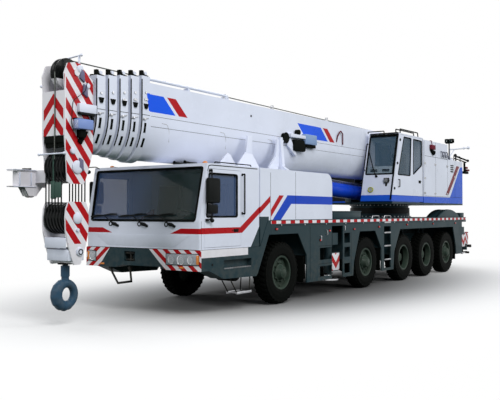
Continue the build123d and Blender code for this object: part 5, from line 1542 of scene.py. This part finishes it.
# %% Top and tail fittings
fit(block("horn_base", at(-10.78, 1.16, 3.836), at(-10.6, 1.3, 3.862), 0.006), "superstructure", plastic)
mirror_back = block("cover_mirror", at(-10.8, 1.335, 3.6), at(-10.46, 1.4, 3.735), 0.018)
arm = pipe("arm", [at(-10.55, 1.3, 3.84), at(-10.6, 1.34, 3.86), at(-10.63, 1.36, 3.72)], 0.01, 0.04)
horn = [ball("bell", at(-10.68, 1.375, 3.52), 0.062), bar("neck", at(-10.5, 1.37, 3.6),
                                                          at(-10.72, 1.372, 3.46), 0.03)]
fit(join("cover_horn", *horn), "superstructure", slot_black)
fit(join("cover_mirror", mirror_back, arm), "superstructure",
    matt("dark_red_plastic", colour(96, 30, 44), 0.45))
curl = ((0, 1.335, 3.6), (0, 1.385, 3.58), (0, 1.395, 3.46), (-0.06, 1.395, 3.43), (-0.1, 1.395, 3.49))
hooks = [pipe("curl", [at(start + x, y, z) for x, y, z in curl], 0.018, 0.05)
         for start in (-11.36, -11.58, -11.8)]
fit(join("hose_hooks", *hooks), "superstructure", matt("hook_grey", colour(104, 106, 116), 0.5))
post = [bar("post", at(-12.36, 1.24, 3.39), at(-12.36, 1.24, 3.93), 0.019),
        block("yoke", at(-12.4, 1.14, 3.915), at(-12.32, 1.34, 3.935), 0.004)]
cans = [block(f"can_{y}", at(-12.46, y - 0.062, 3.935), at(-12.32, y + 0.062, 4.06), 0.016)
        for y in (1.17, 1.31)]
fit(join("double_lamp", *post, *cans), "superstructure", slot_black)
glasses = [block(f"glass_{y}", at(-12.322, y - 0.05, 3.95), at(-12.312, y + 0.05, 4.045), 0.003)
           for y in (1.17, 1.31)]
fit(join("double_lamp_glass", *glasses), "superstructure", screen_glass)
boomlet = [bar("boomlet", at(-12.5, 1.2, 3.74), at(-14.28, 1.2, 3.925), 0.022),
           bar("mast", at(-12.5, 1.2, 3.39), at(-12.5, 1.2, 3.78), 0.026),
           bar("brace", at(-12.5, 1.2, 3.5), at(-12.95, 1.2, 3.78), 0.014),
           ball("boomlet_end", at(-14.3, 1.2, 3.93), 0.05), ball("boomlet_mid", at(-13.85, 1.2, 3.885),
                                                                 0.04), block("pivot",
                                                                              at(-12.58, 1.12, 3.39),
                                                                              at(-12.42, 1.28, 3.47),
                                                                              0.008)]
fit(join("tail_arm", *boomlet), "superstructure", white_paint)
guard = [pipe("guard", [at(x, y, z) for x, z in ((-12.66, 3.395), (-12.66, top), (-13.25, top),
                                                 (-13.25, 3.395))], 0.014, 0.06)
         for y, top in ((1.28, 3.56), (0.52, 3.5))]
grab = [bar("grab", at(-12.95, 1.19, 3.585), at(-14.26, 1.19, 3.5), 0.026),
        bar("grab_low", at(-12.98, 1.19, 3.5), at(-14.1, 1.19, 3.435), 0.018),
        bar("grab_post", at(-13.1, 1.19, 3.39), at(-13.1, 1.19, 3.59), 0.022),
        ball("grab_end", at(-14.27, 1.19, 3.5), 0.044), ball("grab_mid", at(-13.06, 1.19, 3.6), 0.05)]
fit(join("tail_grab", *grab), "superstructure", slot_black)
sling = [block("drop", at(-13.98, 1.17, 3.14), at(-13.88, 1.21, 3.45), 0.006),
         block("weight", at(-14.2, 1.14, 3.06), at(-13.86, 1.24, 3.14), 0.01),
         bar("link", at(-14.1, 1.19, 3.13), at(-13.94, 1.19, 3.3), 0.022)]
fit(join("tail_sling", *sling), "superstructure", slot_black)
signs = [block("flag_1", at(-14.16, 1.15, 3.225), at(-13.99, 1.235, 3.29), 0.01),
         block("flag_2", at(-14.32, 1.15, 3.155), at(-14.19, 1.235, 3.215), 0.01)]
fit(join("tail_flags", *signs), "superstructure", painted("flag_red", DARK_RED))
boxes = [block("valve", at(-13.1, 0.8, 3.396), at(-12.86, 1.1, 3.52), 0.012),
         block("block", at(-12.55, 0.62, 3.396), at(-12.3, 0.92, 3.49), 0.012)]
both_sides(join("tail_rails_left", *guard, *boxes), "superstructure", plastic)
back_lines = [block(f"back_{n}", at(-13.3015, y0, z0), at(-13.296, y1, z1), 0)
              for n, (y0, z0, y1, z1) in enumerate(((0.5, 2.262, 1.3, 2.27), (0.5, 3.33, 1.3, 3.338),
                                                    (0.5, 2.262, 0.508, 3.338), (1.292, 2.262, 1.3, 3.338),
                                                    (0.896, 2.262, 0.904, 3.338)))]
back_slats = [block(f"back_slat_{n}", at(-13.312, 0.58 + 0.38 * (n % 2), 2.95 + 0.052 * (n // 2)),
                    at(-13.298, 0.84 + 0.38 * (n % 2), 2.975 + 0.052 * (n // 2)), 0.003) for n in range(12)]
both_sides(join("back_doors_left", *back_lines, *back_slats), "superstructure", plastic)
lamps = [turned(f"tail_lamp_{n}", [(0, 0), (0.04, 0), (0.04, 0.022), (0.028, 0.032), (0, 0.034)],
                at(-13.298, 1.24, z), (-1, 0, 0), 24) for n, z in enumerate((3.06, 2.42))]
both_sides(join("over_tail_lamps_left", *lamps), "superstructure", red_lens)
print("top and tail fittings")

# %% [markdown]
# Along the carrier's side run small marker lamps, handles and flaps. A lamp is a moulded block of glass
# in a rubber foot, modelled once and copied to each place. The ladder and the toe holes are in the
# frame already, so only their treads, latches and edges are added here.

# %% Lamps and handles along the deck
foot = block("marker_foot", Vector((-0.045, -0.002, -0.026)), Vector((0.045, 0.008, 0.026)), 0.004)
glass = block("marker_glass", Vector((-0.036, 0.004, -0.019)), Vector((0.036, 0.022, 0.019)), 0.007)
spots = [(-2.321, 1.471), (-4.05, 1.206), (-4.452, 1.4), (-5.624, 1.412), (-6.965, 1.442), (-8.708, 1.475),
         (-10.6, 1.475), (-12.469, 1.472)]
feet = [copy_of(foot, "foot", Matrix.Translation(at(x, SIDE, z))) for x, z in spots]
lights = [copy_of(glass, "light", Matrix.Translation(at(x, SIDE, z))) for x, z in spots]
both_sides(join("marker_feet_left", *feet), "carrier", rubber)
both_sides(join("marker_lamps_left", *lights), "carrier", red_lens)
for piece in (foot, glass):
    bpy.data.objects.remove(piece)
handle = ((-0.002, 0.055), (0.03, 0.045), (0.03, -0.045), (-0.002, -0.055))
pulls = [pipe("pull", [at(x, SIDE + out, z + rise) for out, rise in handle], 0.008, 0.02)
         for x, z in ((-4.05, 1.245), (-4.32, 1.36), (-5.134, 1.44))]
bolts = [bar("bolt", at(x, SIDE - 0.002, 1.545), at(x, SIDE + 0.014, 1.545), 0.013, 6, 0.002)
         for x in [-2.5 - 0.9 * n for n in range(13)]]
both_sides(join("deck_pulls_left", *pulls, *bolts), "carrier", galvanised)
seam_lines = [(-3.62, 0.4, -3.62, 1.5), (-4.62, 1.08, -3.98, 1.08), (-4.62, 0.7, -3.98, 0.7),
              (-5.48, 0.38, -5.48, 1.36), (-2.32, 1.538, -13.45, 1.538)]
both_sides(seams("deck_seams_left", seam_lines, SIDE), "carrier", plastic)
treads = []
for z in (0.62, 0.96, 1.29, 1.545):
    treads += [block("tread", at(-7.655, SIDE - 0.055, z - 0.016), at(-7.288, SIDE + 0.016, z + 0.016),
                     0.006)]
    treads += [block("nose", at(-7.64, SIDE + 0.01, z + 0.01), at(-7.303, SIDE + 0.024, z + 0.022), 0.003)]
both_sides(join("ladder_treads_left", *treads), "carrier", galvanised)
print("side lamps", len(spots), "a side")

# %% [markdown]
# On the deck stand folding rail hoops, a locker, and the covers over the rear wheels. The wheel covers
# are domed: half a turned drum would do, but a plate drawn as an arc is quicker and has no waste.

# %% On the deck
hoop = ((0, -0.02), (0.03, 0.06), (0.39, 0.06), (0.42, -0.02))
hoops = [pipe("hoop", [at(start + x, 1.3, DECK + rise) for x, rise in hoop], 0.012, 0.05)
         for start in (-7.16, -7.85)]
both_sides(join("deck_hoops_left", *hoops), "carrier", galvanised)
locker = block("deck_locker", at(-6.14, 0.95, DECK - 0.004), at(-4.77, 1.3, DECK + 0.165), 0.014)
lid = block("lid", at(-6.15, 0.94, DECK + 0.15), at(-4.76, 1.31, DECK + 0.176), 0.008)
both_sides(join("deck_locker_left", locker, lid), "carrier", chassis_paint)
COVER_X, COVER_TOP, COVER_R = -12.18, DECK + 0.236, 2.03
arc = [(COVER_X + COVER_R * math.sin(a), COVER_TOP - COVER_R * (1 - math.cos(a)))
       for a in [math.radians(-28 + 4 * n) for n in range(15)]]
dome = side_plate("wheel_cover_left", arc, 0.92, 1.3, 0.01)
both_sides(dome, "carrier", chassis_paint)
ribs = [side_plate(f"rib_{y}", [(x, z + 0.006) for x, z in arc], y, y + 0.03, 0.004) for y in (0.97, 1.22)]
both_sides(join("cover_ribs_left", *ribs), "carrier", black_paint)
tail_box = block("tail_box", at(-13.46, 0.5, DECK - 0.004), at(-13.12, 1.32, DECK + 0.138), 0.012)
handle = pipe("handle", [at(-13.462, 0.8, DECK + 0.09), at(-13.485, 0.8, DECK + 0.09),
                         at(-13.485, 1.0, DECK + 0.09), at(-13.462, 1.0, DECK + 0.09)], 0.007, 0.02)
both_sides(join("tail_box_left", tail_box, handle), "carrier", chassis_paint)
canisters = [bar("canister", at(-4.6, 0.7, DECK + 0.02), at(-4.6, 0.7, DECK + 0.4), 0.1, 28, 0.02),
             bar("canister_2", at(-4.88, 0.7, DECK + 0.02), at(-4.88, 0.7, DECK + 0.34), 0.085, 28, 0.02)]
fit(join("oil_filters", *canisters), "carrier", painted("filter_green", colour(84, 100, 96), rough=0.4))
print("deck fittings")

# %% [markdown]
# The outriggers end in marker plates with chevrons. A chevron is two slants that meet in the middle of
# the plate, so its paint reads the distance from the plate's own centre line, which differs for each
# beam. The plates move out with the beams, so they ride on them.

# %% Outrigger plates
def chevron_paint(name, middle, base):
    """Red bars that rise to a line at x on the vehicle's side."""
    def bands(paint):
        off = paint.math("ABSOLUTE", paint.math("SUBTRACT", paint.along(AHEAD), FACE + middle))
        rise = paint.math("SUBTRACT", paint.along(UP), off)
        return [(paint.stripes(rise, 0.3, base, 0.48), RED)]
    return painted(name, SIGN_WHITE, bands)


def slant_paint(name, side):
    """Red bars that climb round the corner of a tail sign."""
    def bands(paint):
        return [(paint.stripes(paint.along((-1, -side, 1)), 0.24, 0.0, 0.5), RED)]
    return painted(name, SIGN_WHITE, bands)


BEAMS = {"front_left": (-4.82, 0.5, 1), "front_right": (-5.12, 0.5, -1), "rear_left": (-13.37, 0.7, 1),
         "rear_right": (-13.07, 0.7, -1)}
for name, (x, z, side) in BEAMS.items():
    shape = [(x + across, z + up) for across, up in ((-0.165, 0.018), (0.165, 0.018), (0.165, 0.396),
                                                     (-0.165, 0.396))]
    sign = side_plate(f"beam_sign_{name}", shape, side * 1.3225, side * 1.331, 0.002)
    fit(sign, f"outrigger_beam_{name}", chevron_paint(f"chevron_{name}", x, z + 0.05))
    grip = [bar(f"pin_{k}", at(x + k * 0.13, side * 1.05, z - 0.06),
                at(x + k * 0.13, side * 1.19, z - 0.06), 0.012) for k in (-1, 1)]
    hose = pipe("hose", [at(x - 0.06, side * 1.02, z + 0.38), at(x - 0.1, side * 1.0, z + 0.2),
                         at(x - 0.09, side * 1.02, z + 0.02)], 0.012, 0.06)
    fit(join(f"beam_fittings_{name}", *grip, hose), f"outrigger_beam_{name}", plastic)
print("outrigger signs", len(BEAMS))

# %% [markdown]
# The tail has lamp clusters, mud flaps behind the last wheels, a towing jaw, and a bar against cars
# running under. The lamps are boxes with three panes of coloured glass. A mud flap hangs on a steel
# strap.

# %% Tail of the carrier
for side, label in SIDES:
    body = [block("box", at(-13.985, side * 0.8, 0.765), at(-13.915, side * 1.26, 0.905), 0.01),
            block("strap", at(-13.93, side * 0.98, 0.7), at(-13.885, side * 1.04, 0.8), 0.003)]
    fit(join(f"tail_lamp_box_{label}", *body), "carrier", plastic)
    for n, (y0, y1, glass_kind) in enumerate(((0.815, 0.945, red_lens), (0.955, 1.085, amber_lens),
                                              (1.095, 1.245, red_lens))):
        fit(block(f"tail_lamp_{label}_{n}", at(-13.996, side * y0, 0.78), at(-13.98, side * y1, 0.89),
                  0.006), "carrier", glass_kind)
    sign = plate(f"tail_sign_{label}", "x", [(side * 1.04, 0.93), (side * 1.31, 0.93), (side * 1.31, 1.17),
                                             (side * 1.04, 1.17)], FACE - 13.905, FACE - 13.89, 0.002)
    wing = side_plate("wing", [(-13.885, 0.79), (-13.6, 0.79), (-13.6, 1.14), (-13.885, 1.14)], side * 1.3,
                      side * 1.312, 0.002)
    fit(join(f"tail_sign_{label}", sign, wing), "carrier", slant_paint(f"tail_slant_{label}", side))
    arm = [block("arm", at(-13.895, side * 1.14, 0.73), at(-13.875, side * 1.2, 1.12), 0.003),
           block("stay", at(-13.89, side * 1.15, 1.0), at(-13.48, side * 1.19, 1.04), 0.004)]
    fit(join(f"tail_sign_arm_{label}", *arm), "carrier", black_paint)
    for n, (x, top) in enumerate(((-3.42, 0.86), (-7.135, 0.9), (-12.6, 0.86))):
        flap = plate(f"flap_{n}", "x", [(side * 1.02, 0.36), (side * 1.33, 0.36), (side * 1.33, top),
                                        (side * 1.02, top)], FACE + x - 0.006, FACE + x + 0.006, 0.003)
        strap = block("strap", at(x - 0.016, side * 1.01, top - 0.03),
                      at(x + 0.016, side * 1.34, top + 0.02), 0.003)
        fit(join(f"mud_flap_{n}_{label}", flap, strap), "carrier", rubber)
rails = [block("rail", at(-14.36, -1.27, 0.655), at(-14.27, 1.27, 0.745), 0.012),
         block("low_rail", at(-14.3, -1.22, 0.455), at(-14.22, 1.22, 0.52), 0.012)]
arms = [block(f"rail_arm_{y}", at(-14.3, y - 0.03, 0.47), at(-13.85, y + 0.03, 0.53), 0.006)
        for y in (-1.12, 1.12)]
props = [block(f"rail_prop_{y}", at(-14.32, y - 0.03, 0.66), at(-13.86, y + 0.03, 0.72), 0.006)
         for y in (-1.12, 1.12)]
stems = [block(f"rail_stem_{y}", at(-13.88, y - 0.035, 0.45), at(-13.83, y + 0.035, 0.74), 0.006)
         for y in (-1.12, 1.12)]
fit(join("tail_rails_low", *rails, *arms, *props, *stems), "carrier", black_paint)
jaw = [block("jaw_plate", at(-13.93, -0.16, 0.66), at(-13.9, 0.16, 0.8), 0.008),
       bar("jaw_pin", at(-13.97, 0, 0.64), at(-13.97, 0, 0.84), 0.02),
       turned("jaw_ring", [(0.045, -0.02), (0.07, -0.02), (0.07, 0.02), (0.045, 0.02)], at(-13.97, 0, 0.7),
              UP, 24)]
fit(join("tow_jaw", *jaw), "carrier", black_paint)
couplings = [bar(f"coupling_{y}", at(-13.912, y, 0.66), at(-13.94, y, 0.66), 0.028, 20, 0.004)
             for y in (-0.42, -0.32, 0.32, 0.42)]
fit(join("air_couplings", *couplings), "carrier", galvanised)
print("tail fittings")

# %% [markdown]
# The engine hood opens in panels. Seams, latches and a block of louvres on its right side show
# where. An exhaust stands behind it on the right, wrapped in a heat shield.

# %% Engine hood and exhaust
hood_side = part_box("engine_hood")[1].y
hood_lines = [(-2.13, 1.66, -2.13, 2.55), (-3.05, 1.66, -3.05, 2.6)]
both_sides(seams("hood_seams_left", hood_lines, hood_side), "carrier", plastic)
fit(mirrored(louvres("hood_louvres_right", -2.45, 2.5, 6, 2, 0.06, hood_side)), "carrier", black_paint)
bpy.data.objects.remove(slat)
grid = [block(f"grid_{n}", at(-3.55 + 0.06 * n, -0.95, HOOD_TOP - 0.004),
              at(-3.525 + 0.06 * n, -0.25, HOOD_TOP + 0.008), 0.002) for n in range(10)]
frame_bars = [block(f"frame_{y}", at(-3.58, y - 0.02, HOOD_TOP - 0.004),
                    at(-2.95, y + 0.02, HOOD_TOP + 0.012), 0.003) for y in (-0.97, -0.6, -0.23)]
fit(join("hood_grid", *grid, *frame_bars), "carrier", plastic)
top_catches = [block(f"hood_catch_{n}", at(x - 0.04, y, HOOD_TOP - 0.004),
                     at(x + 0.04, y + 0.06, HOOD_TOP + 0.012), 0.004)
               for n, (x, y) in enumerate(((-2.3, 1.1), (-3.0, 1.1), (-2.3, -1.16), (-3.0, -1.16)))]
fit(join("hood_catches", *top_catches), "carrier", galvanised)
EXHAUST = (-4.55, -0.98)
pot = turned("pot", [(0, 0), (0.135, 0), (0.15, 0.02), (0.15, 0.78), (0.135, 0.8), (0.06, 0.82), (0, 0.82)],
             at(*EXHAUST, DECK - 0.01), UP, 36)
rings = [turned(f"band_{z}", [(0.149, -0.02), (0.158, -0.02), (0.158, 0.02), (0.149, 0.02)],
                at(*EXHAUST, DECK + z), UP, 36) for z in (0.14, 0.64)]
stack = pipe("stack", [at(*EXHAUST, DECK + 0.8), at(*EXHAUST, DECK + 0.97), at(-4.7, -1.05, DECK + 1.02)],
             0.055, 0.08)
fit(join("exhaust", pot, stack, *rings), "carrier", galvanised)
print("hood and exhaust")

# %% [markdown]
# A drum looks right only with its rope on it. A real rope lies in a helix, but from a few metres its
# turns read as rings side by side, so each layer is turned as one ribbed skin. The winch also needs its
# gearbox cover, its bolts and two hoses.

# %% Winch
TURNS, PITCH, HALF_TURN, ROPE_RADIUS = 29, 0.0275, 0.0137, 0.232
drum = at(-13.01, 0, 2.85)
turns = []
for n in range(TURNS):
    y = -0.385 + PITCH * n
    turns += [(ROPE_RADIUS, y - HALF_TURN), (ROPE_RADIUS + 0.014, y)]
turns += [(ROPE_RADIUS, 0.3987), (0.2, 0.3987), (0.2, -0.3987)]
fit(turned("rope_layer", turns, drum, ACROSS, 40), "superstructure", rope_steel)
for side, label in SIDES:
    cover = turned("cover", [(0, 0), (0.15, 0), (0.15, 0.03), (0.1, 0.05), (0.1, 0.09), (0, 0.1)],
                   drum + Vector((0, side * 0.446, 0)), (0, side, 0), 32)
    bolt = bar("bolt", drum + Vector((0, side * 0.47, 0.125)), drum + Vector((0, side * 0.49, 0.125)),
               0.011, 6, 0.001)
    fit(join(f"winch_cover_{label}", cover, round_about("bolts", bolt, 10, drum, "Y")), "superstructure",
        black_paint)
hoses = []
for apart, lower in ((0, 0), (0.05, 0.06)):
    route = ((0.02 + apart, 0.535, 0.02), (0.06 + apart, 0.6, 0.05), (0.45, 0.6, -0.2 - lower),
             (0.9, 0.52, -0.55))
    hoses.append(pipe("winch_hose", [drum + Vector(step) for step in route], 0.016, 0.1))
fit(join("winch_hoses", *hoses), "superstructure", rubber)
print("winch turns", TURNS)

# %% [markdown]
# The slewing ring is held by a circle of bolts above and below, and the slewing motor drives it through
# a gearbox. One bolt is modelled and copied round. The lift cylinder gets its gland and hoses.

# %% Slewing ring and lift cylinder
SLEW_X, RING_BOLTS = -10.0, 48
centre = at(SLEW_X, 0, 1.78)
for name, radius, z, body in (("ring_bolts_low", 0.885, 1.662, "carrier"),
                              ("ring_bolts_top", 0.845, 1.985, "superstructure")):
    bolt = bar("bolt", at(SLEW_X + radius, 0, z), at(SLEW_X + radius, 0, z + 0.034), 0.017, 6, 0.002)
    fit(round_about(name, bolt, RING_BOLTS, centre, "Z"), body, galvanised)
flange = turned("ring_foot", [(0.8, 0), (0.92, 0), (0.92, 0.016), (0.8, 0.016)],
                at(SLEW_X, 0, DECK - 0.002), UP, 64)
fit(flange, "carrier", chassis_paint)
drive = [bar("gear", at(-9.3, -0.62, 2.07), at(-9.3, -0.62, 2.34), 0.12, 28, 0.02),
         bar("motor", at(-9.3, -0.62, 2.34), at(-9.3, -0.62, 2.52), 0.08, 20, 0.015)]
drive_grey = painted("drive_grey", colour(78, 88, 92), rough=0.4)
fit(join("slew_drive_right", *drive), "superstructure", drive_grey)
lift_foot = at(-9.4, 0, 2.29)
along = (at(-4.9, 0, 2.49) - lift_foot).normalized()
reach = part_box("lift_cylinder")[1].x - 0.02 - lift_foot.x
end = lift_foot + along * (reach / along.x)
gland = bar("gland", end - along * 0.16, end - along * 0.02, 0.205, 36, 0.012)
fit(gland, "lift_cylinder", blue_paint)
pipes = []
for y in (-0.1, 0.1):
    route = [at(-9.0, y, 2.52276), at(-8.8, y, 2.54464),
             end - along * 0.3 + Vector((0, y, 0.226)), end - along * 0.22 + Vector((0, y, 0.19))]
    pipes.append(pipe("lift_pipe", route, 0.012, 0.05))
fit(join("lift_pipes", *pipes), "lift_cylinder", galvanised)
print("ring bolts", 2 * RING_BOLTS)

# %% [markdown]
# Under the deck run the shafts, the springs and the brake tanks. They are dark and half hidden, so each
# is one simple form with the one detail that names it: yokes on a shaft, bands on a tank, a rod below a
# strut.

# %% Underside
REAR_AXLES = (-8.62, -10.22, -11.82)
SHAFT_Z = 0.69
shafts = []
for n, (ahead, behind) in enumerate(((-6.6, -8.42), (-8.82, -10.02), (-10.42, -11.62))):
    shafts += [bar("shaft", at(ahead, 0, SHAFT_Z), at(behind, 0, SHAFT_Z), 0.045, 20, 0.004)]
    shafts += [turned("yoke", [(0, -0.03), (0.085, -0.03), (0.085, 0.0), (0.05, 0.05), (0, 0.05)],
                      at(x, 0, SHAFT_Z), (way, 0, 0), 20) for x, way in ((ahead, -1), (behind, 1))]
fit(join("drive_shafts", *shafts), "carrier", black_paint)
TANK_Y, TANK_Z = 0.62, 1.16
tanks = []
for x in (-5.05, -7.45):
    tanks += [turned("tank", [(0, -0.3), (0.06, -0.295), (0.105, -0.26), (0.115, -0.22), (0.115, 0.22),
                              (0.105, 0.26), (0.06, 0.295), (0, 0.3)], at(x, TANK_Y, TANK_Z), AHEAD, 28)]
    tanks += [turned("band", [(0.114, -0.015), (0.121, -0.015), (0.121, 0.015), (0.114, 0.015)],
                     at(x + k * 0.14, TANK_Y, TANK_Z), AHEAD, 28) for k in (-1, 1)]
    tanks += [block("hanger", at(x - 0.02, 0.42, 1.15), at(x + 0.02, 0.52, 1.2), 0.003)]
both_sides(join("air_tanks_left", *tanks), "carrier", black_paint)
struts = []
for x in REAR_AXLES:
    for way in (-1, 1):
        struts += [bar("strut", at(x + way * 0.2, 0.52, 0.78), at(x + way * 0.16, 0.5, 1.32), 0.055, 20,
                       0.006), bar("rod", at(x + way * 0.21, 0.53, 0.66), at(x + way * 0.2, 0.52, 0.8),
                                   0.034, 16, 0.004)]
both_sides(join("spring_struts_left", *struts), "carrier", chassis_paint)
links = [bar("link", at(x + 0.08, 0.3, 0.8), at(x + 0.95, 0.3, 0.98), 0.028, 14, 0.004)
         for x in REAR_AXLES[:2]]
both_sides(join("torque_links_left", *links), "carrier", black_paint)
cables = [pipe("line", [at(x, 0.436, z) for x in (-2.2, -7.9, -13.3)], 0.012, 0.05)
          for z in (1.3, 1.25, 1.2)]
both_sides(join("frame_lines_left", *cables), "carrier", plastic)
print("underside fittings")

# %% [markdown]
# The fittings may stand only a little outside the frame.
